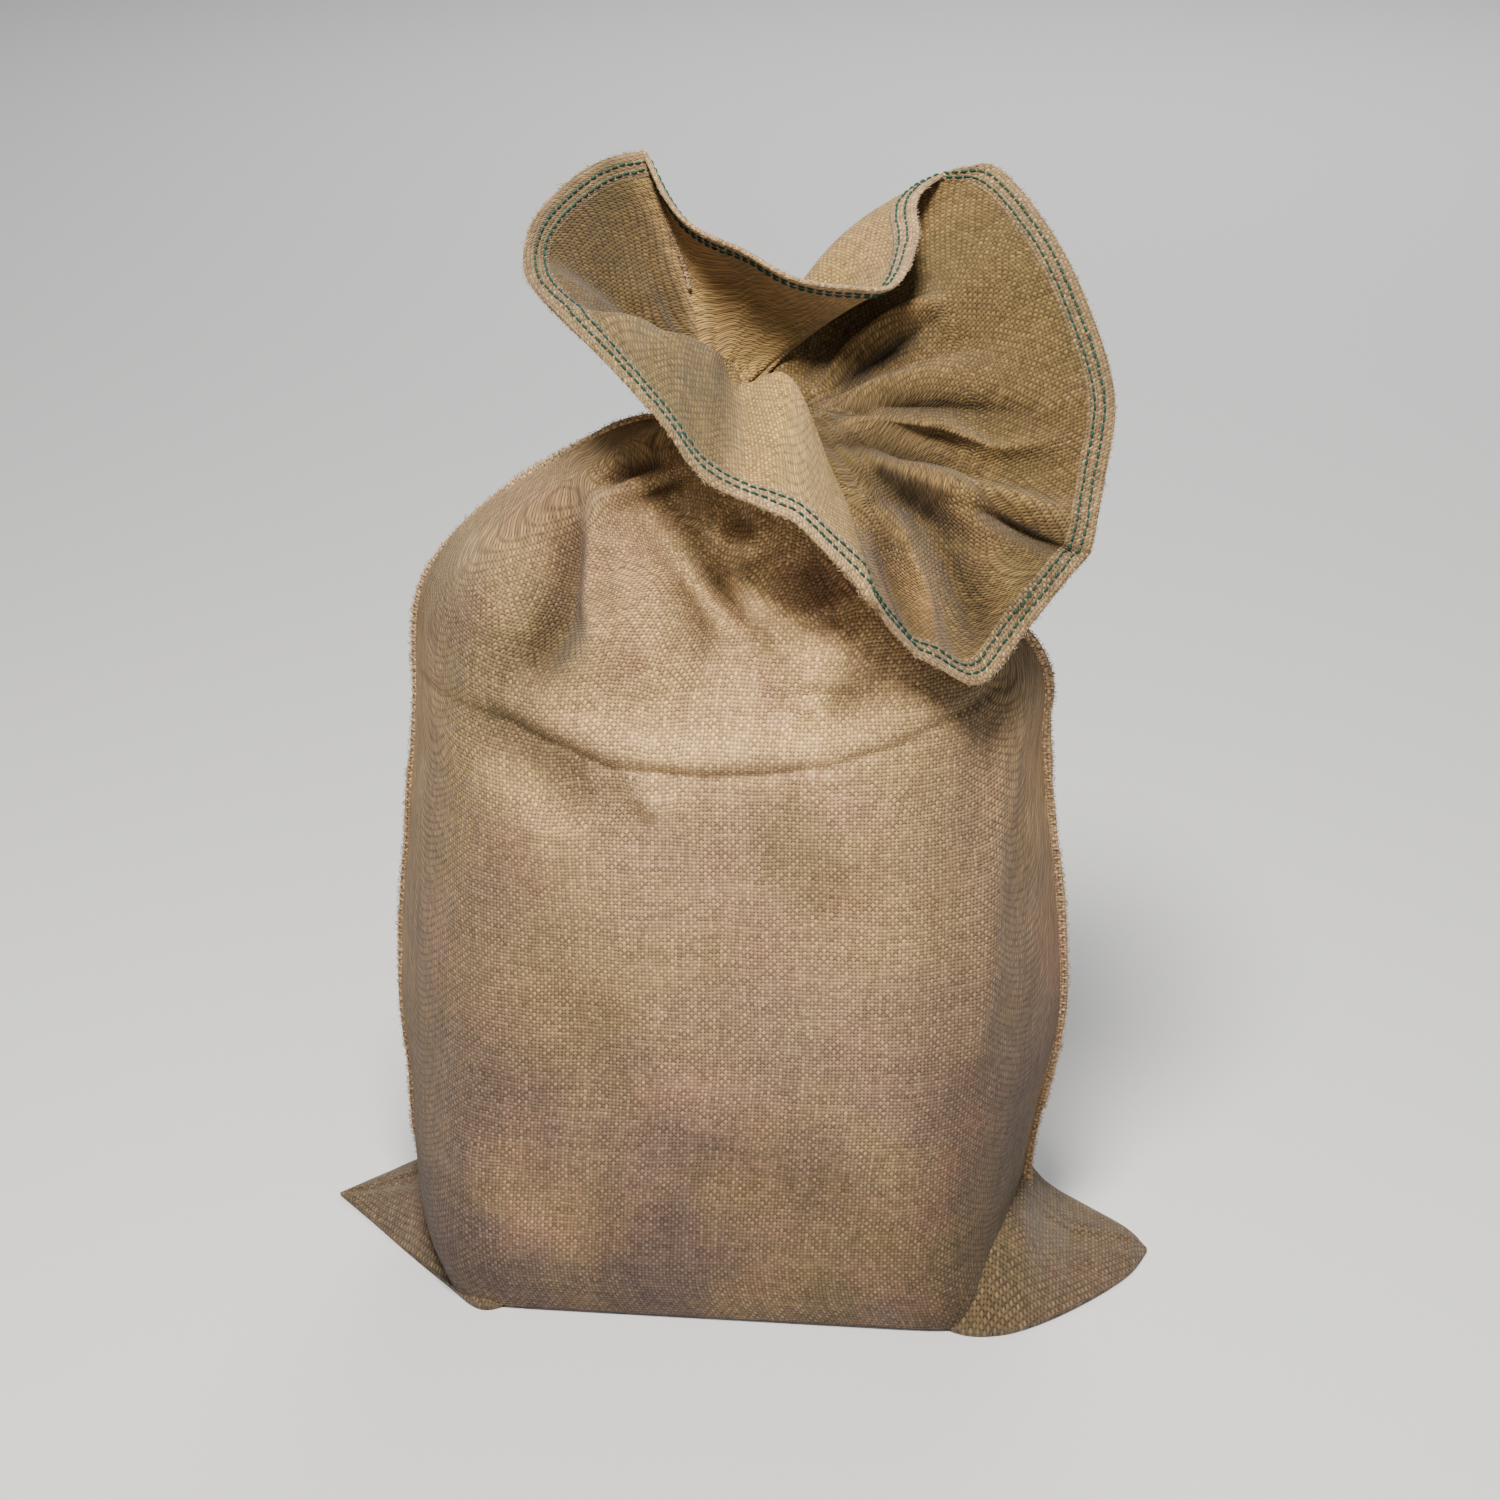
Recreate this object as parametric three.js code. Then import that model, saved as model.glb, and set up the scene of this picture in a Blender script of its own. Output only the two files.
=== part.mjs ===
// Sack race bag: a hessian sack standing stuffed, gathered at the neck, its mouth flopped open.
// Millimetres, +Z up. +X runs from seam to seam, -Y is the front, and the origin is the middle of
// the underside. The sack is one doubled cloth: each panel, seam, hem and thread row is a solid.
import * as THREE from 'three';

// ---- driving dimensions -------------------------------------------------------------------
const CLOTH = 2.0;              // thickness of one cloth layer
const SEAM_THICK = 3.2;         // cloth doubled over and sewn along a side seam
const HEM_THICK = 3.2;          // cloth folded over and sewn at the mouth
const EVENNESS = 0.8;           // spreads the shares of a panel evenly along its curved section
const GAP = 0.4;                // clearance between neighbouring solids
const SEAM_SHARE = 0.012;       // half width of a side seam, as a share of one panel
const SEAM_GAP = 0.004;         // clearance beside a seam, as a share of one panel
const MOUTH_SEAM_GAP = 0.012;   // the same in the mouth, where the seams are sharp creases
const HEM_WIDE = 19;            // from the rim to the hem's lower edge
const HEM_GAP = 2;              // clearance below the hem
const OUTER_ROW = 7;            // from the rim to the two thread rows
const INNER_ROW = 13.5;
const MOUTH_SEAM_START = 4;     // from the neck to the side seams in the mouth
const THREAD_R = 0.7;           // radius of a thread row
const THREAD_CLEAR = 0.8;       // clearance of the thread above the hem
const CREASE_SPAN = 0.02;       // stretch of a panel over which the cloth's normal is averaged
const HEM_STEPS = 132;          // steps around the rim
const HEM_SHIFT = 1 / HEM_STEPS; // half a step, so that no step falls on a seam's crease
const BASE_THICK = 2.6;         // the folded bottom of the cloth, which the sack stands on
const FILL_INSET = 5.5;         // from the cloth's middle surface to the filling
const FLAP_TIP_THICK = 6;       // a corner flap is two layers with air between them
const FLAP_ROOT_THICK = 12;
const CORNER_HEIGHT = 9;        // the fixed cloth between the body and a corner flap
const CORNER_UP = 0.035;        // height on the body, 0 foot to 1 neck, where that cloth clears it
const CORNER_CLEAR = 4.2;       // from the body cloth's middle surface to that fixed cloth

// The neck, where the cloth is bunched: a flattened ring turned a little to the body.
const NECK = { x: 15, y: 15, z: 612, halfWidth: 42, halfDepth: 28, turn: -20 };
const GATHER_HEIGHT = 13;
const THROAT_SHARE = 0.45;      // the open throat, as a share of the neck ring

// ---- the stuffed body ----------------------------------------------------------------------
// Rings of the body from the floor to the neck. left and right are the seams [x, z], front and
// back are the middles of the panels [y, z]. corner is how square the section is (2 is oval).
const BODY_RINGS = [
  { left: [-214, 3], right: [206, 3], front: [-119, 3], back: [116, 3], corner: 15 },
  { left: [-229, 36], right: [203, 36], front: [-124, 30], back: [122, 30], corner: 11 },
  { left: [-235, 110], right: [212, 110], front: [-127, 110], back: [127, 110], corner: 7.5 },
  { left: [-236, 195], right: [222, 190], front: [-123, 195], back: [127, 195], corner: 5.5 },
  { left: [-228, 305], right: [213, 300], front: [-114, 305], back: [120, 305], corner: 5 },
  { left: [-218, 405], right: [202, 385], front: [-104, 402], back: [112, 405], corner: 4.5 },
  { left: [-204, 500], right: [199, 446], front: [-84, 468], back: [90, 480], corner: 3.5 },
  { left: [-80, 600], right: [112, 545], front: [-46, 552], back: [62, 565], corner: 2.5 },
];

// ---- the mouth -----------------------------------------------------------------------------
// Each row is [rim, belly, pull]: the rim's own place, the place that draws the cloth between neck
// and rim into its curve, and how strongly. The back row runs from left seam to right seam.
const BACK_MOUTH = [
  [[-70, 85, 760], [-40, 85, 692], 1],
  [[-42, 50, 727], [-18, 88, 680], 1],
  [[0, 22, 713], [12, 82, 672], 1],
  [[35, 8, 700], [32, 76, 664], 1],
  [[70, 2, 696], [52, 70, 658], 1],
  [[96, 14, 693], [54, 66, 664], 1],
  [[110, 62, 712], [40, 82, 676], 1],
  [[108, 106, 727], [26, 118, 692], 1],
  [[126, 138, 737], [56, 134, 692], 1],
  [[140, 142, 741], [84, 134, 688], 1],
  [[156, 140, 742], [96, 118, 680], 1],
  [[195, 98, 710], [120, 60, 666], 1],
  [[222, 65, 667], [133, 62, 640], 1],
  [[240, 33, 617], [141, 30, 618], 1],
  [[235, 6, 572], [142, 24, 584], 1],
  [[228, -26, 534], [138, -22, 568], 1],
];
// The front row runs from the left seam, around the turned-down lip, to the right seam.
const FRONT_MOUTH = [
  [[-70, 85, 760], [-40, 85, 692], 1],
  [[-95, 62, 757], [-48, 68, 688], 1],
  [[-118, 32, 744], [-56, 52, 676], 1],
  [[-131, 0, 728], [-62, 36, 660], 1],
  [[-130, -26, 706], [-94, -23, 709], 1.3],
  [[-105, -58, 688], [-95, -51, 699], 2.2],
  [[-75, -80, 668], [-68, -39, 697], 2.6],
  [[-41, -100, 640], [-45, -25, 688], 2.8],
  [[-10, -115, 606], [-16, -10, 676], 2.8],
  [[18, -119, 593], [2, 24, 640], 2.4],
  [[30, -118, 587], [34, 7, 651], 2.8],
  [[46, -118, 580], [58, -28, 622], 2.8],
  [[69, -115, 556], [82, -73, 578], 2.6],
  [[93, -108, 526], [101, -118, 525], 1.8],
  [[115, -97, 496], [80, -34, 562], 1],
  [[137, -90, 477], [97, -38, 548], 1],
  [[161, -81, 464], [110, -38, 542], 1],
  [[192, -54, 495], [120, -28, 548], 1],
  [[217, -34, 523], [131, -24, 560], 1],
  [[228, -26, 534], [138, -22, 568], 1],
];

// Corner flaps: the sack's two flat bottom corners, lying on the floor. Points are [x, y]. The
// flap folds at root, and shares are where its fixed cloth meets the body, front and back.
const LEFT_FLAP = {
  root: -231, front: [-231, -60], tip: [-296, 10], back: [-231, 76],
  corners: [[-196, -112], [-196, 110]], shares: [1.875, 2.125],
};
const RIGHT_FLAP = {
  root: 214, front: [214, -106], tip: [294, -8], back: [214, 76],
  corners: [[190, -113], [184, 112]], shares: [1.125, 0.875],
};

// ---- materials -----------------------------------------------------------------------------
const hessian = (tint) => new THREE.MeshStandardMaterial({ color: tint, roughness: 0.95, metalness: 0 });
const PALE = 0xb89f83;
const GOLD = 0xa08660;
const BROWN = 0x8f7658;
const GREEN = 0x2f6e5b;

// ---- helpers -------------------------------------------------------------------------------
const radians = (degrees) => degrees * Math.PI / 180;

// A closed section between two seams. share runs 0 to 1 from left to right seam along the back,
// and on from 1 to 2 along the front, back to the left seam.
function alongPanel(share) {
  const turn = ((share % 2) + 2) % 2;
  const onBack = turn <= 1;
  const across = onBack ? turn : 2 - turn;
  const quarter = Math.PI / 2;
  const side = Math.sin(quarter * EVENNESS * (2 * across - 1)) / Math.sin(quarter * EVENNESS);
  return { onBack, across, side };
}

function ringPoint(ring, share) {
  const { onBack, side } = alongPanel(share);
  const seam = side < 0 ? ring.left : ring.right;
  const panel = onBack ? ring.back : ring.front;
  const reach = Math.abs(side);
  const depth = Math.pow(1 - Math.pow(reach, ring.corner), ring.corner > 3 ? 1 : 0.7);
  const middle = (ring.left[0] + ring.right[0]) / 2;
  const x = middle + reach * (seam[0] - middle);
  return new THREE.Vector3(x, panel[0] * depth, seam[1] + (panel[1] - seam[1]) * (1 - reach * reach));
}

function neckPoint(share, scale = 1, lift = 0) {
  const { onBack, across } = alongPanel(share);
  const swing = Math.sin(Math.PI * across) * (onBack ? 1 : -1);
  const turn = radians(NECK.turn);
  const x = -Math.cos(Math.PI * across) * NECK.halfWidth * scale;
  const y = swing * NECK.halfDepth * scale;
  return new THREE.Vector3(
    NECK.x + x * Math.cos(turn) - y * Math.sin(turn),
    NECK.y + x * Math.sin(turn) + y * Math.cos(turn),
    NECK.z + lift,
  );
}

const bodyCurves = new Map();
function bodyPoint(share, up) {
  if (!bodyCurves.has(share)) {
    const rings = BODY_RINGS.map((ring) => ringPoint(ring, share));
    rings.push(neckPoint(share, 1, -GATHER_HEIGHT - 2 * GAP));
    bodyCurves.set(share, new THREE.CatmullRomCurve3(rings, false, 'centripetal'));
  }
  return bodyCurves.get(share).getPoint(up);
}

function mouthCurves(rows) {
  const through = (column) => new THREE.CatmullRomCurve3(
    rows.map((row) => new THREE.Vector3(...row[column])), false, 'centripetal');
  return { rim: through(0), belly: through(1), pulls: rows.map((row) => row[2]) };
}
const backMouth = mouthCurves(BACK_MOUTH);
const frontMouth = mouthCurves(FRONT_MOUTH);

// The cloth's line from neck to rim at one share: its points, and how far along it each one is.
const LINE_STEPS = 60;
const mouthLines = new Map();
function mouthLine(share) {
  if (mouthLines.has(share)) return mouthLines.get(share);
  const { onBack, across } = alongPanel(share);
  const { rim, belly, pulls } = onBack ? backMouth : frontMouth;
  const place = rim.getUtoTmapping(across);
  const row = place * (pulls.length - 1);
  const low = Math.min(Math.floor(row), pulls.length - 2);
  const pull = THREE.MathUtils.lerp(pulls[low], pulls[low + 1], row - low);
  const ends = [neckPoint(share, 1, 3 * GAP), belly.getPoint(place), rim.getPoint(place)];
  const points = [];
  const reach = [0];
  for (let k = 0; k <= LINE_STEPS; k += 1) {
    const t = k / LINE_STEPS;
    const weights = [(1 - t) ** 2, 2 * t * (1 - t) * pull, t ** 2];
    const total = weights[0] + weights[1] + weights[2];
    const point = new THREE.Vector3();
    ends.forEach((end, i) => point.addScaledVector(end, weights[i] / total));
    points.push(point);
    if (k > 0) reach.push(reach[k - 1] + point.distanceTo(points[k - 1]));
  }
  const line = { points, reach, length: reach[LINE_STEPS] };
  mouthLines.set(share, line);
  return line;
}

// The point of the mouth at a distance from the rim, measured along the cloth.
function mouthAt(share, fromRim) {
  const { points, reach, length } = mouthLine(share);
  const wanted = length - fromRim;
  let k = 1;
  while (k < LINE_STEPS && reach[k] < wanted) k += 1;
  return points[k - 1].clone().lerp(points[k], (wanted - reach[k - 1]) / (reach[k] - reach[k - 1]));
}

const hemPoint = (share, along) => mouthAt(share, HEM_WIDE * (1 - along));

// The cloth below the hem, from a distance above the neck to a clearance below the hem.
const belowHem = (start, gap) => (share, along) => {
  const from = mouthLine(share).length - start;
  return mouthAt(share, THREE.MathUtils.lerp(from, HEM_WIDE + gap, along));
};

// The outward normal, averaged over a short stretch so that it turns smoothly past a crease.
function outward(surface, share, along) {
  const step = 1e-3;
  const low = Math.max(along - step, 0);
  const high = Math.min(along + step, 1);
  const around = surface(share + CREASE_SPAN, along).sub(surface(share - CREASE_SPAN, along));
  const up = surface(share, high).sub(surface(share, low));
  return up.cross(around).normalize();
}

function geometryOf(points, faces) {
  const geometry = new THREE.BufferGeometry();
  geometry.setAttribute('position', new THREE.Float32BufferAttribute(points.flatMap((p) => p.toArray()), 3));
  geometry.setIndex(faces);
  geometry.computeVertexNormals();
  return geometry;
}

// A thick patch of cloth: the surface over a range of shares and heights, given two faces and
// closed along its edges. A patch that covers both panels (shares 0 to 2) closes on itself.
function clothPatch(surface, [from, to], shareSteps, [low, high], heightSteps, inner, outer) {
  const closed = to - from >= 2;
  const columns = closed ? shareSteps : shareSteps + 1;
  const rows = heightSteps + 1;
  const points = [];
  for (const offset of [outer, -inner]) {
    for (let i = 0; i < columns; i += 1) {
      const share = from + (to - from) * i / shareSteps;
      for (let j = 0; j < rows; j += 1) {
        const along = low + (high - low) * j / heightSteps;
        points.push(surface(share, along).addScaledVector(outward(surface, share, along), offset));
      }
    }
  }
  const back = columns * rows;
  const faces = [];
  const quad = (a, b, c, d) => faces.push(a, b, c, a, c, d);
  const at = (i, j) => (i % columns) * rows + j;
  for (let i = 0; i < shareSteps; i += 1) {
    for (let j = 0; j < heightSteps; j += 1) {
      quad(at(i, j), at(i, j + 1), at(i + 1, j + 1), at(i + 1, j));
      quad(back + at(i, j), back + at(i + 1, j), back + at(i + 1, j + 1), back + at(i, j + 1));
    }
    quad(at(i, 0), at(i + 1, 0), back + at(i + 1, 0), back + at(i, 0));
    quad(at(i + 1, rows - 1), at(i, rows - 1), back + at(i, rows - 1), back + at(i + 1, rows - 1));
  }
  for (let j = 0; j < heightSteps && !closed; j += 1) {
    quad(at(0, j + 1), at(0, j), back + at(0, j), back + at(0, j + 1));
    quad(at(shareSteps, j), at(shareSteps, j + 1), back + at(shareSteps, j + 1), back + at(shareSteps, j));
  }
  return geometryOf(points, faces);
}

// A solid skinned over closed rings stacked upwards, each counter-clockwise seen from above.
function skinned(rings) {
  const count = rings[0].length;
  const points = rings.flat();
  const faces = [];
  for (let k = 0; k + 1 < rings.length; k += 1) {
    for (let i = 0; i < count; i += 1) {
      const a = k * count + i;
      const b = k * count + (i + 1) % count;
      faces.push(a, b, b + count, a, b + count, a + count);
    }
  }
  const middleOf = (ring) => ring.reduce((sum, p) => sum.add(p), new THREE.Vector3()).divideScalar(count);
  const bottom = points.push(middleOf(rings[0])) - 1;
  const top = points.push(middleOf(rings[rings.length - 1])) - 1;
  const last = (rings.length - 1) * count;
  for (let i = 0; i < count; i += 1) {
    const next = (i + 1) % count;
    faces.push(bottom, next, i, top, last + i, last + next);
  }
  return geometryOf(points, faces);
}

function named(name, geometry, tint) {
  const mesh = new THREE.Mesh(geometry, hessian(tint));
  mesh.name = name;
  return mesh;
}

// ---- pieces ---------------------------------------------------------------------------------
const backShares = (gap) => [SEAM_SHARE + gap, 1 - SEAM_SHARE - gap];
const frontShares = (gap) => [1 + SEAM_SHARE + gap, 2 - SEAM_SHARE - gap];
const LEFT_SEAM = [-SEAM_SHARE, SEAM_SHARE];
const RIGHT_SEAM = [1 - SEAM_SHARE, 1 + SEAM_SHARE];

function bodyPanel(name, shares) {
  return named(name, clothPatch(bodyPoint, shares, 26, [0, 1], 20, CLOTH / 2, CLOTH / 2), PALE);
}

function bodySeam(name, shares) {
  return named(name, clothPatch(bodyPoint, shares, 2, [0, 1], 20, SEAM_THICK / 2, SEAM_THICK / 2), GOLD);
}

function mouthPanel(name, shares) {
  const surface = belowHem(0, HEM_GAP);
  return named(name, clothPatch(surface, shares, 52, [0, 1], 10, CLOTH / 2, CLOTH / 2), GOLD);
}

function mouthSeam(name, shares) {
  const surface = belowHem(MOUTH_SEAM_START, 2 * HEM_GAP);
  const half = SEAM_THICK / 2;
  return named(name, clothPatch(surface, shares, 2, [0, 1], 10, half, half), GOLD);
}

function hem() {
  const half = HEM_THICK / 2;
  const shares = [HEM_SHIFT, 2 + HEM_SHIFT];
  return named('mouth_hem', clothPatch(hemPoint, shares, HEM_STEPS, [0, 1], 2, half, half), BROWN);
}

function threadRow(name, fromRim) {
  const along = 1 - fromRim / HEM_WIDE;
  const inside = -(HEM_THICK / 2 + THREAD_CLEAR + THREAD_R);
  const corners = 4;
  const points = [];
  const faces = [];
  for (let i = 0; i < HEM_STEPS; i += 1) {
    const share = 2 * i / HEM_STEPS + HEM_SHIFT;
    const normal = outward(hemPoint, share, along);
    const middle = hemPoint(share, along).addScaledVector(normal, inside);
    const ahead = hemPoint(share + 1e-3, along).sub(hemPoint(share - 1e-3, along)).normalize();
    const side = new THREE.Vector3().crossVectors(ahead, normal).normalize();
    for (let k = 0; k < corners; k += 1) {
      const angle = 2 * Math.PI * k / corners;
      points.push(middle.clone().addScaledVector(normal, THREAD_R * Math.cos(angle))
        .addScaledVector(side, THREAD_R * Math.sin(angle)));
    }
  }
  for (let i = 0; i < HEM_STEPS; i += 1) {
    for (let k = 0; k < corners; k += 1) {
      const a = i * corners + k;
      const b = i * corners + (k + 1) % corners;
      const c = ((i + 1) % HEM_STEPS) * corners + (k + 1) % corners;
      const d = ((i + 1) % HEM_STEPS) * corners + k;
      faces.push(a, b, c, a, c, d);
    }
  }
  return named(name, geometryOf(points, faces), GREEN);
}

function bottomPanel() {
  const ring = (z) => {
    const round = [];
    for (let i = 0; i < 64; i += 1) {
      const p = ringPoint(BODY_RINGS[0], 2 * i / 64);
      round.push(new THREE.Vector3(p.x, p.y, z));
    }
    return round.reverse();
  };
  return named('bottom_panel', skinned([ring(0), ring(BASE_THICK)]), PALE);
}

function filling() {
  const steps = 44;
  const levels = [0.02, 0.06, 0.12, 0.24, 0.36, 0.48, 0.6, 0.68, 0.75, 0.82, 0.87];
  const rings = levels.map((up) => {
    const round = [];
    for (let i = 0; i < steps; i += 1) {
      const share = 2 * i / steps;
      const normal = outward(bodyPoint, share, up);
      const p = bodyPoint(share, up).addScaledVector(normal, -FILL_INSET);
      p.z = Math.max(p.z, BASE_THICK + GAP);
      round.push(p);
    }
    return round.reverse();
  });
  return named('filling', skinned(rings), 0xcbbfae);
}

function neckGather() {
  const band = (share, along) => neckPoint(share, 1 - THROAT_SHARE / 2, -GATHER_HEIGHT * (1 - along));
  const wall = NECK.halfDepth * THROAT_SHARE / 2;
  return named('neck_gather', clothPatch(band, [0, 2], 48, [0, 1], 2, wall, wall), BROWN);
}

function cornerFlap(name, flap) {
  const edge = [flap.front, flap.tip, flap.back];
  const width = Math.abs(flap.tip[0] - flap.root);
  const thick = (x) => FLAP_TIP_THICK + (FLAP_ROOT_THICK - FLAP_TIP_THICK)
    * (1 - Math.abs(x - flap.root) / width);
  const outline = [];
  const steps = 6;
  for (let side = 0; side < 2; side += 1) {
    for (let i = 0; i < steps; i += 1) {
      const t = i / steps;
      outline.push([0, 1].map((c) => edge[side][c] + (edge[side + 1][c] - edge[side][c]) * t));
    }
  }
  outline.push(flap.back);
  for (let i = 1; i < steps; i += 1) {
    outline.push([0, 1].map((c) => flap.back[c] + (flap.front[c] - flap.back[c]) * i / steps));
  }
  const place = (z) => outline.map(([x, y]) => new THREE.Vector3(x, y, z === 0 ? 0 : thick(x)));
  const rings = [place(0), place(1)];
  if (flap.root < 0) rings.forEach((ring) => ring.reverse());
  return named(name, skinned(rings), GOLD);
}

// The cloth that runs from the body's foot out to a corner flap, as wide as the body is deep.
function cornerRoot(name, flap) {
  const steps = 12;
  const fold = flap.root - Math.sign(flap.root) * GAP;
  const outer = [flap.corners[0], [fold, flap.front[1]], [fold, flap.back[1]], flap.corners[1]];
  const inner = [];
  for (let i = 0; i <= steps; i += 1) {
    const share = flap.shares[0] + (flap.shares[1] - flap.shares[0]) * i / steps;
    const p = bodyPoint(share, CORNER_UP).addScaledVector(outward(bodyPoint, share, CORNER_UP), CORNER_CLEAR);
    inner.push([p.x, p.y]);
  }
  const outline = [...outer, ...inner.reverse()];
  const shape = new THREE.Shape(outline.map(([x, y]) => new THREE.Vector2(x, y)));
  return named(name, new THREE.ExtrudeGeometry(shape, { depth: CORNER_HEIGHT, bevelEnabled: false }), GOLD);
}

// ---- the whole sack -------------------------------------------------------------------------
const sack = new THREE.Group();
sack.add(
  bottomPanel(),
  bodyPanel('front_panel', frontShares(SEAM_GAP)),
  bodyPanel('back_panel', backShares(SEAM_GAP)),
  bodySeam('left_side_seam', LEFT_SEAM),
  bodySeam('right_side_seam', RIGHT_SEAM),
  filling(),
  neckGather(),
  cornerRoot('left_corner_root', LEFT_FLAP),
  cornerRoot('right_corner_root', RIGHT_FLAP),
  cornerFlap('left_corner_flap', LEFT_FLAP),
  cornerFlap('right_corner_flap', RIGHT_FLAP),
  mouthPanel('mouth_front_panel', frontShares(MOUTH_SEAM_GAP)),
  mouthPanel('mouth_back_panel', backShares(MOUTH_SEAM_GAP)),
  mouthSeam('mouth_left_seam', LEFT_SEAM),
  mouthSeam('mouth_right_seam', RIGHT_SEAM),
  hem(),
  threadRow('outer_hem_thread', OUTER_ROW),
  threadRow('inner_hem_thread', INNER_ROW),
);

export default sack;
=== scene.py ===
import math
import bpy
import numpy as np
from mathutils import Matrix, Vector


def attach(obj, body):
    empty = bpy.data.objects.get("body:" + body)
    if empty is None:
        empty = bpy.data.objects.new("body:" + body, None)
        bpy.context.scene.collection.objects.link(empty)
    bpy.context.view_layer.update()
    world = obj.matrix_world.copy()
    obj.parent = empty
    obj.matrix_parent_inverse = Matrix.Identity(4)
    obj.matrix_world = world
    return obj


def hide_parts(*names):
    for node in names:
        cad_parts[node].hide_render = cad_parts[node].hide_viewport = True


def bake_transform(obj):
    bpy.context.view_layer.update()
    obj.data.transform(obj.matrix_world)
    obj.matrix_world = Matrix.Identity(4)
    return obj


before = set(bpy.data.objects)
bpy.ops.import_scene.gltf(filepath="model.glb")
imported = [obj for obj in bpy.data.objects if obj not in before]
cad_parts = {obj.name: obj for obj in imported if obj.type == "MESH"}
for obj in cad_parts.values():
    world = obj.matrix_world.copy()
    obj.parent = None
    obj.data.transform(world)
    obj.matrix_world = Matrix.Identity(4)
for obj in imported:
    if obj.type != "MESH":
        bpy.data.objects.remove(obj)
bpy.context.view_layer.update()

# Surfaces are worked out in millimetres, as in the CAD, and turned into metres when a mesh is made.
MM = 0.001
PITCH = 2.45             # one thread of the hessian
EVENNESS = 0.8           # how evenly the body's columns are spaced across a panel, up to 1
NECK = {"x": 15, "y": 15, "z": 612, "wide": 42, "deep": 28, "turn": -20}
NECK_DROP = 13.8         # the body's cloth ends this far below the neck line
NECK_RISE = 1.2          # and the mouth's cloth begins this far above it
CLOTH_LOW = 1.2          # lowest height of the middle of the body's cloth
BODY_HALF = 0.9          # half the thickness of the body's cloth, and of the seams'
MOUTH_HALF = 0.8
PANEL_APART = 700.0      # puts the front panel's weave map clear of the back's
MOUTH_WEAVE_AT = 0.8     # where the weave maps of the mouth and the hem begin, in metres
HEM_WEAVE_AT = 0.95
HEM_WIDE = 19.0
OUTER_ROW = 7.2          # the rows of stitches, measured from the rim
INNER_ROW = 13.4
BODY_SEAM_MIN = 3        # a seam wider than this is one of the body's
MOUTH_SEAM_LIFT = 1.8    # the mouth's seams start this far out of its cloth
WHIP_PITCH = 6.5
BODY_FRAY = 2.0          # fibres to a millimetre of seam
MOUTH_FRAY = 0.6
# Each ring of the mouth's hidden tail is lower, narrower and, past the first few, further back.
TAIL = 12
TAIL_STEP = 3.4
TAIL_START = 0.88
TAIL_NARROW = 0.036
TAIL_LEAN = 1.4
TAIL_UPRIGHT = 4
# ring: left seam (x, z), right seam (x, z), front (y, z), back (y, z) and how square its corners are
RINGS = [
    ((-214, 3), (206, 3), (-119, 3), (116, 3), 15),
    ((-229, 36), (203, 36), (-124, 30), (122, 30), 11),
    ((-235, 110), (212, 110), (-127, 110), (127, 110), 7.5),
    ((-236, 195), (222, 190), (-123, 195), (127, 195), 5.5),
    ((-228, 305), (213, 300), (-114, 305), (120, 305), 5),
    ((-218, 405), (202, 385), (-104, 402), (112, 405), 4.5),
    ((-204, 500), (199, 446), (-84, 468), (90, 480), 3.5),
    ((-80, 600), (112, 545), (-46, 552), (62, 565), 2.5),
]
# The mouth's rows are (rim, belly, pull): a belly with more pull folds the cloth more sharply there.
BACK_MOUTH = [
    ((-70, 85, 760), (-40, 85, 692), 1),
    ((-42, 50, 727), (-18, 88, 680), 1),
    ((0, 22, 713), (12, 82, 672), 1),
    ((35, 8, 700), (32, 76, 664), 1),
    ((70, 2, 696), (52, 70, 658), 1),
    ((96, 14, 693), (54, 66, 664), 1),
    ((110, 62, 712), (32, 82, 676), 1),
    ((108, 106, 727), (10, 114, 688), 1),
    ((125, 140, 736), (18, 130, 694), 1),
    ((139, 142, 741), (68, 138, 694), 1),
    ((156, 140, 742), (96, 118, 680), 1),
    ((195, 98, 710), (120, 60, 666), 1),
    ((222, 65, 667), (133, 62, 640), 1),
    ((240, 33, 617), (141, 30, 618), 1),
    ((235, 6, 572), (142, 24, 584), 1),
    ((228, -26, 534), (138, -22, 568), 1),
]
FRONT_MOUTH = [
    ((-70, 85, 760), (-40, 85, 692), 1),
    ((-95, 62, 757), (-48, 68, 688), 1),
    ((-118, 32, 744), (-56, 52, 676), 1),
    ((-131, 0, 728), (-62, 36, 660), 1),
    ((-130, -26, 706), (-94, -23, 709), 1.3),
    ((-105, -58, 688), (-95, -51, 699), 2.2),
    ((-75, -80, 668), (-68, -39, 697), 2.6),
    ((-41, -100, 640), (-45, -25, 688), 2.8),
    ((-10, -115, 606), (-16, -10, 676), 2.8),
    ((18, -119, 593), (2, 24, 640), 2.4),
    ((30, -118, 587), (34, 7, 651), 2.8),
    ((46, -118, 580), (58, -28, 622), 2.8),
    ((69, -115, 556), (82, -73, 578), 2.6),
    ((93, -108, 526), (101, -118, 525), 1.8),
    ((115, -97, 496), (80, -34, 562), 1),
    ((137, -90, 477), (97, -38, 548), 1),
    ((161, -81, 464), (110, -38, 542), 1),
    ((192, -54, 495), (120, -28, 548), 1),
    ((217, -34, 523), (131, -24, 560), 1),
    ((228, -26, 534), (138, -22, 568), 1),
]

rng = np.random.default_rng(7)


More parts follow.
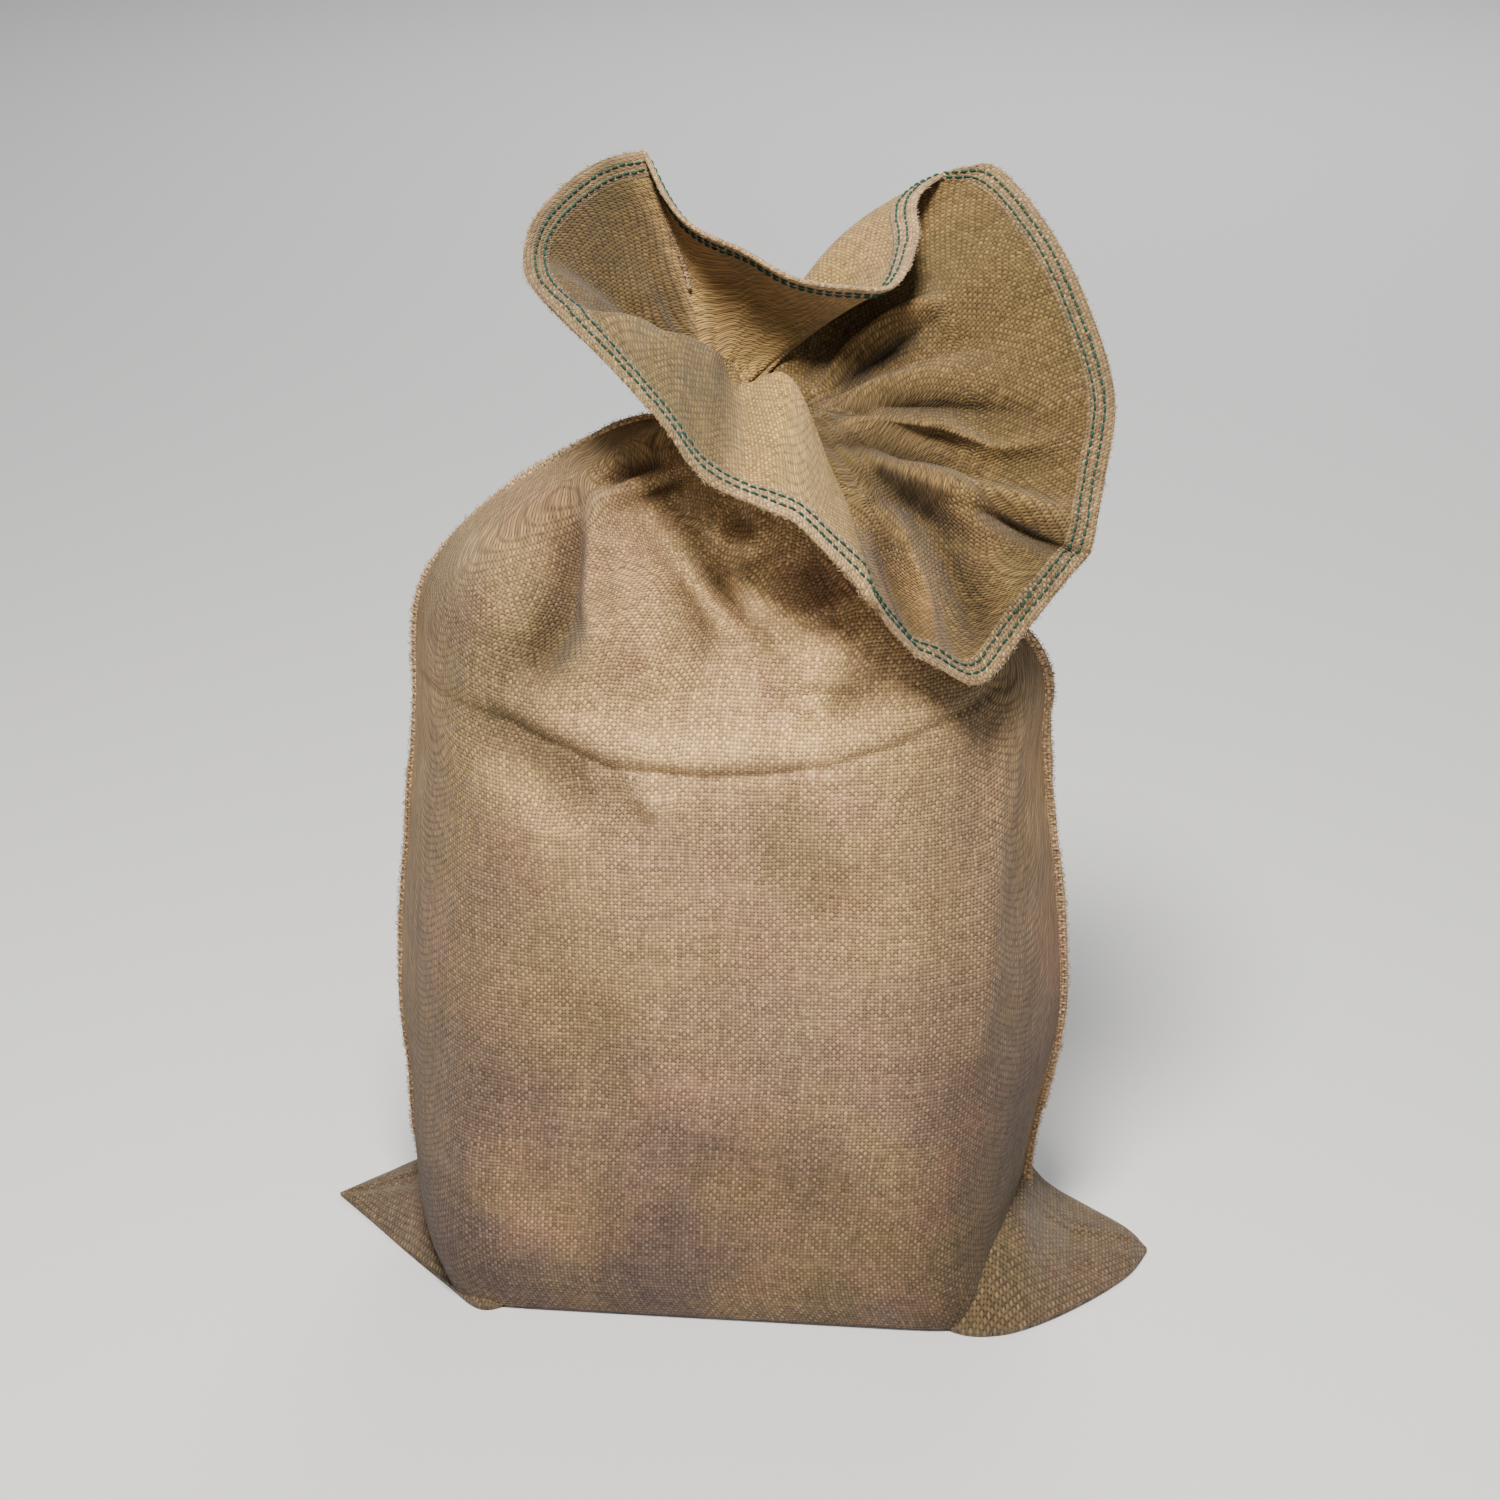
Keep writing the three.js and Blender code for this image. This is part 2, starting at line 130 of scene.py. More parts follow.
# ---- surfaces ------------------------------------------------------------------------------
def catmull(points, t):
    """Centripetal Catmull-Rom through points (n, ...) at t (m,), as (m, ...)."""
    points = np.asarray(points, float)
    last = len(points) - 1
    place = np.clip(t, 0, 1) * last
    i = np.minimum(place.astype(int), last - 1)
    w = (place - i).reshape((-1,) + (1,) * (points.ndim - 1))
    ext = np.concatenate([2 * points[:1] - points[1:2], points, 2 * points[-1:] - points[-2:-1]])
    p0, p1, p2, p3 = ext[i], ext[i + 1], ext[i + 2], ext[i + 3]

    def gap(a, b):
        return np.maximum(((b - a) ** 2).sum(-1, keepdims=True), 1e-9) ** 0.25

    d0, d1, d2 = gap(p0, p1), gap(p1, p2), gap(p2, p3)
    m1 = ((p1 - p0) / d0 - (p2 - p0) / (d0 + d1) + (p2 - p1) / d1) * d1
    m2 = ((p2 - p1) / d1 - (p3 - p1) / (d1 + d2) + (p3 - p2) / d2) * d1
    return (p1 + m1 * w + (-3 * p1 + 3 * p2 - 2 * m1 - m2) * w ** 2
            + (2 * p1 - 2 * p2 + m1 + m2) * w ** 3)


def run_along(line):
    """Length from the first point of a line (n, 3) to each of its points."""
    return np.concatenate([[0], np.cumsum(np.linalg.norm(np.diff(line, axis=0), axis=1))])


def climb(grid):
    """Length up each column of a grid, from its first row to each of its points."""
    return np.concatenate([np.zeros((1, grid.shape[1])),
                           np.cumsum(np.linalg.norm(np.diff(grid, axis=0), axis=-1), 0)])


def from_neck_axis(grid):
    """Level unit vectors that point away from the neck's upright axis."""
    away = grid - np.array([NECK["x"], NECK["y"], 0])
    away[..., 2] = 0
    return away / np.maximum(np.linalg.norm(away, axis=-1, keepdims=True), 1e-9)


def along_panel(share):
    """For shares of the way around, 0 to 2: on the back or not, place across the panel, and the same
    place from -1 at the left seam to 1 at the right."""
    turn = np.mod(share, 2)
    on_back = turn <= 1
    across = np.where(on_back, turn, 2 - turn)
    quarter = math.pi / 2
    side = np.sin(quarter * EVENNESS * (2 * across - 1)) / math.sin(quarter * EVENNESS)
    return on_back, across, side


def ring_points(ring, share):
    left, right, front, back, corner = ring
    on_back, _, side = along_panel(share)
    seam_x = np.where(side < 0, left[0], right[0])
    seam_z = np.where(side < 0, left[1], right[1])
    panel_y = np.where(on_back, back[0], front[0])
    panel_z = np.where(on_back, back[1], front[1])
    reach = np.abs(side)
    depth = (1 - reach ** corner) ** (1 if corner > 3 else 0.7)
    middle = (left[0] + right[0]) / 2
    return np.stack([middle + reach * (seam_x - middle), panel_y * depth,
                     seam_z + (panel_z - seam_z) * (1 - reach ** 2)], -1)


def neck_points(share, scale=1.0, lift=0.0):
    on_back, across, _ = along_panel(share)
    swing = np.sin(math.pi * across) * np.where(on_back, 1, -1)
    turn = math.radians(NECK["turn"])
    x = -np.cos(math.pi * across) * NECK["wide"] * scale
    y = swing * NECK["deep"] * scale
    return np.stack([NECK["x"] + x * math.cos(turn) - y * math.sin(turn),
                     NECK["y"] + x * math.sin(turn) + y * math.cos(turn),
                     np.full_like(x, NECK["z"] + lift)], -1)


def body_surface(share, up):
    rings = [ring_points(r, share) for r in RINGS] + [neck_points(share, 1, -NECK_DROP)]
    return catmull(np.array(rings), up)


def mouth_curves(rows, across):
    rims, bellies = np.array([r[0] for r in rows], float), np.array([r[1] for r in rows], float)
    pulls = np.array([[r[2]] for r in rows], float)
    even = np.linspace(0, 1, 201)
    run = run_along(catmull(rims, even))
    place = np.interp(across * run[-1], run, even)
    pull = np.interp(place * (len(rows) - 1), np.arange(len(rows)), pulls[:, 0])
    return catmull(rims, place), catmull(bellies, place), pull


def mouth_surface(share, out):
    on_back, across, _ = along_panel(share)
    rim_b, belly_b, pull_b = mouth_curves(BACK_MOUTH, across)
    rim_f, belly_f, pull_f = mouth_curves(FRONT_MOUTH, across)
    pick = on_back[:, None]
    rim, belly = np.where(pick, rim_b, rim_f), np.where(pick, belly_b, belly_f)
    pull = np.where(on_back, pull_b, pull_f)[:, None]
    neck = neck_points(share, 1, NECK_RISE)
    t = np.asarray(out)[:, None, None]
    a, b, c = (1 - t) ** 2, 2 * t * (1 - t) * pull, t ** 2
    return (a * neck + b * belly + c * rim) / (a + b + c)


def grid_normals(grid, wrap):
    if wrap:
        around = np.roll(grid, -1, 1) - np.roll(grid, 1, 1)
    else:
        around = np.gradient(grid, axis=1)
    up = np.gradient(grid, axis=0)
    n = np.cross(up, around)
    return n / np.maximum(np.linalg.norm(n, axis=-1, keepdims=True), 1e-9)


def smooth(x, a, b):
    t = np.clip((x - a) / (b - a), 0, 1)
    return t * t * (3 - 2 * t)


def value_noise(x, y, seed, wrap=None):
    """Smooth noise from -1 to 1 on a unit lattice; x repeats after wrap cells."""
    table = np.random.default_rng(seed).uniform(-1, 1, (64, 64))
    xi, yi = np.floor(x).astype(int), np.floor(y).astype(int)
    fx, fy = x - xi, y - yi
    fx, fy = fx * fx * (3 - 2 * fx), fy * fy * (3 - 2 * fy)
    wrap = wrap or 64

    def at(i, j):
        return table[np.mod(np.mod(i, wrap), 64), np.mod(j, 64)]

    low = at(xi, yi) * (1 - fx) + at(xi + 1, yi) * fx
    high = at(xi, yi + 1) * (1 - fx) + at(xi + 1, yi + 1) * fx
    return low * (1 - fy) + high * fy


# ---- meshes --------------------------------------------------------------------------------
def make_mesh(name, points, faces, uvs=None, material=None, tone=1.0):
    """points in mm (n, 3); faces as lists of indices; uvs per loop, in metres; tone makes the cloth
    darker or lighter at each point."""
    mesh = bpy.data.meshes.new(name)
    mesh.from_pydata((np.asarray(points) * MM).tolist(), [], [list(map(int, f)) for f in faces])
    if uvs is not None:
        layer = mesh.uv_layers.new(name="weave")
        layer.data.foreach_set("uv", np.asarray(uvs, np.float32).ravel())
        shade = mesh.attributes.new("tone", "FLOAT", "POINT")
        shade.data.foreach_set("value", np.broadcast_to(tone, len(mesh.vertices)).astype(np.float32))
    mesh.polygons.foreach_set("use_smooth", [True] * len(mesh.polygons))
    mesh.update()
    obj = bpy.data.objects.new(name, mesh)
    bpy.context.scene.collection.objects.link(obj)
    if material is not None:
        mesh.materials.append(material)
    return obj


def shell(name, grid, uv, outer, inner, wrap, material, tones=(1.0, 1.0)):
    """A thick cloth from a grid (rows, columns, 3), given two faces and rounded edges. uv has one
    more column than a wrapped grid."""
    rows, cols = grid.shape[:2]
    normal = grid_normals(grid, wrap)
    outer, inner = np.broadcast_to(outer, (rows, cols)), np.broadcast_to(inner, (rows, cols))
    points = np.concatenate([(grid + normal * outer[..., None]).reshape(-1, 3),
                             (grid - normal * inner[..., None]).reshape(-1, 3)])
    back = rows * cols
    spans = cols if wrap else cols - 1
    j, i = np.meshgrid(np.arange(rows - 1), np.arange(spans), indexing="ij")
    j, i = j.ravel(), i.ravel()
    nxt = (i + 1) % cols

    def corner(jj, ii):
        return jj * cols + ii

    front = np.stack([corner(j, i), corner(j + 1, i), corner(j + 1, nxt), corner(j, nxt)], 1)
    rear = np.stack([corner(j, i), corner(j, nxt), corner(j + 1, nxt), corner(j + 1, i)], 1) + back
    uv_f = np.stack([uv[j, i], uv[j + 1, i], uv[j + 1, i + 1], uv[j, i + 1]], 1)
    uv_r = np.stack([uv[j, i], uv[j, i + 1], uv[j + 1, i + 1], uv[j + 1, i]], 1)
    faces, uvs = [front, rear], [uv_f, uv_r]
    ii = np.arange(spans)
    nn = (ii + 1) % cols
    faces.append(np.stack([ii, nn, nn + back, ii + back], 1))
    uvs.append(np.stack([uv[0, ii], uv[0, ii + 1], uv[0, ii + 1], uv[0, ii]], 1))
    top = (rows - 1) * cols
    faces.append(np.stack([top + nn, top + ii, top + ii + back, top + nn + back], 1))
    uvs.append(np.stack([uv[-1, ii + 1], uv[-1, ii], uv[-1, ii], uv[-1, ii + 1]], 1))
    if not wrap:
        jj = np.arange(rows - 1)
        a = jj * cols
        faces.append(np.stack([a + cols, a, a + back, a + cols + back], 1))
        uvs.append(np.stack([uv[jj + 1, 0], uv[jj, 0], uv[jj, 0], uv[jj + 1, 0]], 1))
        a = jj * cols + cols - 1
        faces.append(np.stack([a, a + cols, a + cols + back, a + back], 1))
        uvs.append(np.stack([uv[jj, -1], uv[jj + 1, -1], uv[jj + 1, -1], uv[jj, -1]], 1))
    tone = np.concatenate([np.broadcast_to(t, (rows, cols)).ravel() for t in tones])
    return make_mesh(name, points, np.concatenate(faces), np.concatenate(uvs), material, tone)


def woven_uv(grid, up_start):
    """The weave map of a wrapped grid: each panel's threads keep their pitch, measured from the
    middle of the panel, and up_start is the cloth length where the grid begins, in metres."""
    rows, cols = grid.shape[:2]
    loop = np.concatenate([grid, grid[:, :1]], 1)
    run = np.concatenate([np.zeros((rows, 1)),
                          np.cumsum(np.linalg.norm(np.diff(loop, axis=1), axis=-1), 1)], 1)
    half = cols // 2
    u = np.concatenate([run[:, :half] - run[:, half // 2, None],
                        run[:, half:] - run[:, half + half // 2, None] + PANEL_APART], 1)
    rise = climb(grid)
    rise = np.concatenate([rise, rise[:, :1]], 1)
    return np.stack([u * MM, rise * MM + up_start], -1)


def tubes(name, starts, paths, radii, material, sides=5, taper=0.35):
    """Many short threads in one mesh: paths (n, k, 3) in mm, radii (n,)."""
    n, k = paths.shape[:2]
    ahead = np.gradient(paths, axis=1)
    ahead /= np.maximum(np.linalg.norm(ahead, axis=-1, keepdims=True), 1e-9)
    ref = np.broadcast_to(starts[:, None, :], ahead.shape)
    side = np.cross(ahead, ref)
    side /= np.maximum(np.linalg.norm(side, axis=-1, keepdims=True), 1e-9)
    other = np.cross(side, ahead)
    angle = np.arange(sides) * 2 * math.pi / sides
    width = np.ones(k)
    width[[0, -1]] = taper
    r = radii[:, None, None, None] * width[None, :, None, None]
    ring = (paths[:, :, None, :] + r * (np.cos(angle)[None, None, :, None] * side[:, :, None, :]
                                        + np.sin(angle)[None, None, :, None] * other[:, :, None, :]))
    points = ring.reshape(-1, 3)
    base = (np.arange(n) * k * sides)[:, None, None]
    row = (np.arange(k - 1) * sides)[None, :, None]
    a = np.arange(sides)[None, None, :]
    b = (a + 1) % sides
    quads = np.stack([base + row + a, base + row + b, base + row + sides + b, base + row + sides + a], -1)
    faces = quads.reshape(-1, 4).tolist()
    for s in range(n):
        first = s * k * sides
        faces.append([first + q for q in range(sides - 1, -1, -1)])
        last = first + (k - 1) * sides
        faces.append([last + q for q in range(sides)])
    return make_mesh(name, points, faces, None, material)


# ---- materials -----------------------------------------------------------------------------
def hessian(name, tint, low_tint, contrast=1.0, gold=0.5):
    """Plain-woven jute: over-and-under threads of uneven thickness and colour, with painted shade in
    the gaps between them, slubs and patches. The weave map is in metres."""
    mat = bpy.data.materials.new(name)
    mat.use_nodes = True
    tree = mat.node_tree
    tree.nodes.clear()

    def node(kind, **props):
        made = tree.nodes.new(kind)
        for key, value in props.items():
            setattr(made, key, value)
        return made

    def link(a, b):
        tree.links.new(a, b)

    def put(socket, value):
        if isinstance(value, bpy.types.NodeSocket):
            link(value, socket)
        else:
            socket.default_value = value

    def calc(op, a, b=0.0, c=0.0):
        made = node("ShaderNodeMath", operation=op)
        for k, value in enumerate((a, b, c)):
            put(made.inputs[k], value)
        return made.outputs[0]

    def noise(vector, scale, detail=2.0, rough=0.5):
        made = node("ShaderNodeTexNoise")
        put(made.inputs["Vector"], vector)
        made.inputs["Scale"].default_value = scale
        made.inputs["Detail"].default_value = detail
        made.inputs["Roughness"].default_value = rough
        return made.outputs["Fac"]

    def fit(value, a, b, c, d):
        made = node("ShaderNodeMapRange", clamp=True)
        for k, v in zip(("Value", "From Min", "From Max", "To Min", "To Max"), (value, a, b, c, d)):
            put(made.inputs[k], v)
        return made.outputs[0]

    def mix(kind, factor, a, b):
        made = node("ShaderNodeMix", data_type="RGBA", blend_type=kind)
        put(made.inputs["Factor"], factor)
        put(made.inputs["A"], a)
        put(made.inputs["B"], b)
        return made.outputs["Result"]

    def vector(x, y, z=0.0):
        made = node("ShaderNodeCombineXYZ")
        for k, value in enumerate((x, y, z)):
            put(made.inputs[k], value)
        return made.outputs[0]

    uv = node("ShaderNodeUVMap", uv_map="weave").outputs[0]
    split = node("ShaderNodeSeparateXYZ")
    link(uv, split.inputs[0])
    scale = 1 / (PITCH * MM)
    wander_x = calc("MULTIPLY", calc("SUBTRACT", noise(uv, 30, 2, 0.5), 0.5), 1.3)
    swapped = vector(split.outputs[1], split.outputs[0])
    wander_y = calc("MULTIPLY", calc("SUBTRACT", noise(swapped, 34, 2, 0.5), 0.5), 1.3)
    x = calc("ADD", calc("MULTIPLY", split.outputs[0], scale), wander_x)
    y = calc("ADD", calc("MULTIPLY", split.outputs[1], scale), wander_y)
    sx = calc("SINE", calc("MULTIPLY", x, math.pi))
    sy = calc("SINE", calc("MULTIPLY", y, math.pi))
    over = calc("MULTIPLY", calc("MULTIPLY", sx, sy), 0.55)
    warp_rand = node("ShaderNodeTexWhiteNoise", noise_dimensions="1D")
    link(calc("FLOOR", x), warp_rand.inputs["W"])
    weft_rand = node("ShaderNodeTexWhiteNoise", noise_dimensions="1D")
    link(calc("ADD", calc("FLOOR", y), 517.0), weft_rand.inputs["W"])
    warp_round = fit(warp_rand.outputs[0], 0, 1, 0.45, 1.1)
    weft_round = fit(weft_rand.outputs[0], 0, 1, 0.45, 1.1)
    warp_top = calc("ADD", calc("POWER", calc("ABSOLUTE", sx), warp_round), over)
    weft_top = calc("SUBTRACT", calc("POWER", calc("ABSOLUTE", sy), weft_round), over)
    height = calc("MAXIMUM", warp_top, weft_top)
    is_warp = calc("GREATER_THAN", warp_top, weft_top)

    # thread-by-thread colour: each thread has its own shade, which drifts along it
    along_warp = noise(vector(calc("FLOOR", x), calc("MULTIPLY", y, 0.045)), 1.0, 2, 0.6)
    along_weft = noise(vector(calc("MULTIPLY", x, 0.045), calc("ADD", calc("FLOOR", y), 91.0)), 1.0, 2, 0.6)
    shade_warp = fit(along_warp, 0.28, 0.72, 1 - 0.34 * contrast, 1 + 0.28 * contrast)
    shade_weft = fit(along_weft, 0.28, 0.72, 1 - 0.40 * contrast, 1 + 0.22 * contrast)
    pick = node("ShaderNodeMix", data_type="FLOAT")
    put(pick.inputs["Factor"], is_warp)
    put(pick.inputs["A"], shade_weft)
    put(pick.inputs["B"], shade_warp)
    shade = pick.outputs["Result"]
    # painted shade where the weave is low, in the gaps between the threads; each crossing also varies in
    # tone at random
    weave_shade_and_tone = calc("MULTIPLY", fit(height, 0.3, 1.0, 1 - 0.78 * contrast, 1.0),
                  fit(over, -0.35, 0.45, 0.84, 1.34))
    crossing = node("ShaderNodeTexWhiteNoise", noise_dimensions="2D")
    link(vector(calc("FLOOR", x), calc("FLOOR", y)), crossing.inputs["Vector"])
    weave_shade_and_tone = calc("MULTIPLY", weave_shade_and_tone, fit(crossing.outputs["Value"], 0, 1, 0.72, 1.24))

    # slubs and dark bark specks lying along the threads
    slub_warp = noise(vector(calc("MULTIPLY", x, 0.9), calc("MULTIPLY", y, 0.10), 3.0), 1.0, 3, 0.62)
    slub_weft = noise(vector(calc("MULTIPLY", x, 0.08), calc("MULTIPLY", y, 0.9), 8.0), 1.0, 3, 0.62)
    weft_bark = calc("MULTIPLY", fit(slub_weft, 0.735, 0.82, 0, 1), 0.75)
    dark = calc("MAXIMUM", fit(slub_warp, 0.71, 0.76, 0, 1), weft_bark)
    pale = fit(slub_weft, 0.30, 0.20, 0, 1)

    place = node("ShaderNodeTexCoord").outputs["Object"]
    split_p = node("ShaderNodeSeparateXYZ")
    link(place, split_p.inputs[0])
    patches = noise(place, 7.5, 4, 0.6)
    blotch = noise(place, 26, 3, 0.6)
    ragged = calc("MULTIPLY", calc("SUBTRACT", patches, 0.5), 0.25)
    # darker and pinker towards the bottom: partly dust and partly painted shade
    low_dust_and_shade = fit(calc("ADD", split_p.outputs[2], ragged), 0.0, 0.52, 1, 0)
    colour = mix("MIX", low_dust_and_shade, tint + (1,), low_tint + (1,))
    colour = mix("MIX", fit(patches, 0.42, 0.66, 0, gold), colour,
                 (tint[0] * 0.98, tint[1] * 1.04, tint[2] * 0.78, 1))
    colour = mix("MIX", fit(noise(place, 11, 3, 0.65), 0.52, 0.70, 0, 0.55), colour,
                 (tint[0] * 0.98, tint[1] * 0.83, tint[2] * 1.02, 1))
    turned = vector(split_p.outputs[2], split_p.outputs[0], split_p.outputs[1])
    colour = mix("MIX", fit(noise(turned, 9, 3, 0.6), 0.54, 0.72, 0, 0.6), colour,
                 (tint[0] * 0.74, tint[1] * 0.83, tint[2] * 0.80, 1))
    tone = calc("MULTIPLY", fit(blotch, 0.3, 0.7, 0.90, 1.08), calc("MULTIPLY", shade, weave_shade_and_tone))
    # the tone attribute brings in each mesh's painted light and shade, with some dirt and random tone
    tone = calc("MULTIPLY", tone, node("ShaderNodeAttribute", attribute_name="tone").outputs["Fac"])
    colour = mix("MULTIPLY", 1.0, colour, vector(tone, tone, tone))
    colour = mix("MIX", calc("MULTIPLY", pale, 0.35), colour, (0.62, 0.50, 0.34, 1))
    colour = mix("MIX", calc("MULTIPLY", dark, 0.72), colour, (0.055, 0.032, 0.018, 1))

    fuzz = noise(uv, 2600, 2, 0.7)
    relief = calc("ADD", height, calc("MULTIPLY", calc("SUBTRACT", fuzz, 0.5), 0.55))
    bump = node("ShaderNodeBump")
    bump.inputs["Strength"].default_value = 0.85
    bump.inputs["Distance"].default_value = 0.0007
    put(bump.inputs["Height"], relief)

    surface = node("ShaderNodeBsdfPrincipled")
    put(surface.inputs["Base Color"], colour)
    put(surface.inputs["Roughness"], fit(fuzz, 0.3, 0.7, 0.78, 0.98))
    surface.inputs["Specular IOR Level"].default_value = 0.28
    surface.inputs["Sheen Weight"].default_value = 0.12
    surface.inputs["Sheen Roughness"].default_value = 0.5
    link(bump.outputs[0], surface.inputs["Normal"])
    out = node("ShaderNodeOutputMaterial")
    link(surface.outputs[0], out.inputs[0])
    return mat


def thread_material(name, colour, dark, scale=900):
    """Twisted thread: short dark and light turns of the ply, with a fibrous bump."""
    mat = bpy.data.materials.new(name)
    mat.use_nodes = True
    tree = mat.node_tree
    surface = tree.nodes["Principled BSDF"]
    coord = tree.nodes.new("ShaderNodeTexCoord")
    wave = tree.nodes.new("ShaderNodeTexWave")
    wave.inputs["Scale"].default_value = scale * 0.35
    wave.inputs["Distortion"].default_value = 3.0
    noise = tree.nodes.new("ShaderNodeTexNoise")
    noise.inputs["Scale"].default_value = scale
    ramp = tree.nodes.new("ShaderNodeMix")
    ramp.data_type = "RGBA"
    ramp.inputs["A"].default_value = dark + (1,)
    ramp.inputs["B"].default_value = colour + (1,)
    bump = tree.nodes.new("ShaderNodeBump")
    bump.inputs["Strength"].default_value = 0.5
    bump.inputs["Distance"].default_value = 0.0003
    add = tree.nodes.new("ShaderNodeMath")
    add.operation = "MULTIPLY"
    tree.links.new(coord.outputs["Object"], wave.inputs["Vector"])
    tree.links.new(coord.outputs["Object"], noise.inputs["Vector"])
    tree.links.new(wave.outputs["Fac"], add.inputs[0])
    tree.links.new(noise.outputs["Fac"], add.inputs[1])
    tree.links.new(noise.outputs["Fac"], ramp.inputs["Factor"])
    tree.links.new(ramp.outputs["Result"], surface.inputs["Base Color"])
    tree.links.new(add.outputs[0], bump.inputs["Height"])
    tree.links.new(bump.outputs[0], surface.inputs["Normal"])
    surface.inputs["Roughness"].default_value = 0.8
    surface.inputs["Specular IOR Level"].default_value = 0.3
    return mat


# each material's second tint is its colour towards the bottom, partly dust and partly painted shade
BODY_CLOTH = hessian("hessian_body", (0.64, 0.40, 0.185), (0.30, 0.19, 0.145))
MOUTH_CLOTH = hessian("hessian_mouth", (0.43, 0.265, 0.095), (0.43, 0.265, 0.095), gold=0.8)
HEM_CLOTH = hessian("hessian_hem", (0.44, 0.285, 0.14), (0.44, 0.285, 0.14), gold=0.5)
SEAM_CLOTH = hessian("hessian_seam", (0.54, 0.345, 0.185), (0.34, 0.21, 0.12), gold=0.4)
# a darker copy of the body's hessian: painted shade on the flat bottom corners
CORNER_HESSIAN_SHADED = hessian("hessian_shaded_corner", (0.165, 0.108, 0.058), (0.165, 0.108, 0.058), gold=0.5)
FILL_CLOTH = hessian("hessian_filling", (0.55, 0.48, 0.38), (0.55, 0.48, 0.38), gold=0.2)
GREEN = thread_material("thread_green", (0.03, 0.105, 0.075), (0.006, 0.035, 0.026))
JUTE = thread_material("thread_jute", (0.62, 0.47, 0.30), (0.30, 0.21, 0.12))

# ---- the camera, lights and floor -----------------------------------------------------------
cam = bpy.data.objects.new("camera", bpy.data.cameras.new("camera"))
bpy.context.scene.collection.objects.link(cam)
bpy.context.scene.camera = cam
azimuth, elevation, distance = math.radians(5.5), math.radians(24), 1.9466
back = Vector((math.sin(azimuth) * math.cos(elevation), -math.cos(azimuth) * math.cos(elevation),
               math.sin(elevation)))
cam.location = Vector((0.008, 0, 0.3763)) + back * distance
cam.rotation_mode = "QUATERNION"
cam.rotation_quaternion = (-back).to_track_quat("-Z", "Y")
cam.data.sensor_width = 36
cam.data.lens = 69.6


def area_light(name, place, target, size, power, colour):
    lamp = bpy.data.lights.new(name, "AREA")
    lamp.shape = "DISK"
    lamp.size = size
    lamp.energy = power
    lamp.color = colour
    obj = bpy.data.objects.new(name, lamp)
    obj.location = place
    obj.rotation_mode = "QUATERNION"
    obj.rotation_quaternion = (Vector(target) - Vector(place)).to_track_quat("-Z", "Y")
    bpy.context.scene.collection.objects.link(obj)


area_light("key", (-0.05, -1.0, 2.5), (0, 0, 0.4), 0.7, 104, (1.0, 0.97, 0.92))
area_light("top", (0.1, 0.9, 2.4), (0, 0, 0.5), 1.2, 4, (1.0, 0.99, 0.97))
area_light("fill", (1.2, -2.2, 1.3), (0, 0, 0.5), 1.6, 7, (0.98, 0.98, 1.0))
area_light("floor_wash", (0.4, 4.2, 3.2), (0, 3.4, 0), 3.0, 110, (1.0, 1.0, 1.0))
world = bpy.data.worlds.new("studio")
bpy.context.scene.world = world
world.use_nodes = True
world.node_tree.nodes["Background"].inputs[0].default_value = (0.93, 0.95, 1.0, 1)
world.node_tree.nodes["Background"].inputs[1].default_value = 0.16

floor_mat = bpy.data.materials.new("floor")
floor_mat.use_nodes = True
floor_mat.node_tree.nodes["Principled BSDF"].inputs["Base Color"].default_value = (0.86, 0.86, 0.855, 1)
floor_mat.node_tree.nodes["Principled BSDF"].inputs["Roughness"].default_value = 0.7
FLOOR_REACH = 9000
FLOOR_LOW = -0.4
floor = make_mesh("floor", [(x * FLOOR_REACH, y * FLOOR_REACH, FLOOR_LOW)
                            for x, y in ((-1, -1), (1, -1), (1, 1), (-1, 1))],
                  [(0, 1, 2, 3)], None, floor_mat)

# ---- body ----------------------------------------------------------------------------------
COLS = 560
ROWS = 300
PLEATS = 26
pleat_at = np.sort((np.arange(PLEATS) + rng.uniform(-0.32, 0.32, PLEATS)) * 2 / PLEATS)
pleat_size = rng.uniform(0.55, 1.25, PLEATS)
pleat_run = rng.uniform(0.45, 1.3, PLEATS)


def pleats(share, reach):
    """Height of the gathers around the neck, 0 to 1, for shares (N,) and run lengths (M, 1): each
    pleat is a rounded ridge that fades out after its own run."""
    total = np.zeros((len(reach), len(share)))
    for at, size, run in zip(pleat_at, pleat_size, pleat_run):
        away = np.abs(np.mod(share - at + 1, 2) - 1)[None, :] * PLEATS / 2
        total += size * np.exp(-(away / 0.36) ** 2) * np.exp(-(reach / run) ** 1.3)
    return total


def strokes(points, lines):
    """Displacement from drawn folds. Each line is (points, width, depth): a soft groove or ridge
    along a polyline, that fades at both ends. points is a grid (..., 2) or (..., 3)."""
    total = np.zeros(points.shape[:-1])
    for line, width, depth in lines:
        line = np.array(line, float)
        best, fade = np.full(total.shape, 1e9), np.ones(total.shape)
        count = len(line) - 1
        for k in range(count):
            a, ab = line[k], line[k + 1] - line[k]
            t = np.clip(((points - a) @ ab) / (ab @ ab), 0, 1)
            d = np.linalg.norm(points - a - t[..., None] * ab, axis=-1)
            fade = np.where(d < best, (k + t) / count, fade)
            best = np.minimum(best, d)
        ends = np.sin(np.clip(fade, 0.03, 0.97) * math.pi) ** 0.5
        total += depth * np.exp(-(best / width) ** 2) * ends
    return total


share = np.arange(COLS) * 2 / COLS
up = np.linspace(0, 1, ROWS)
body = body_surface(share, up)
arc = climb(body)
from_neck = arc[-1][None, :] - arc
normal = grid_normals(body, True)

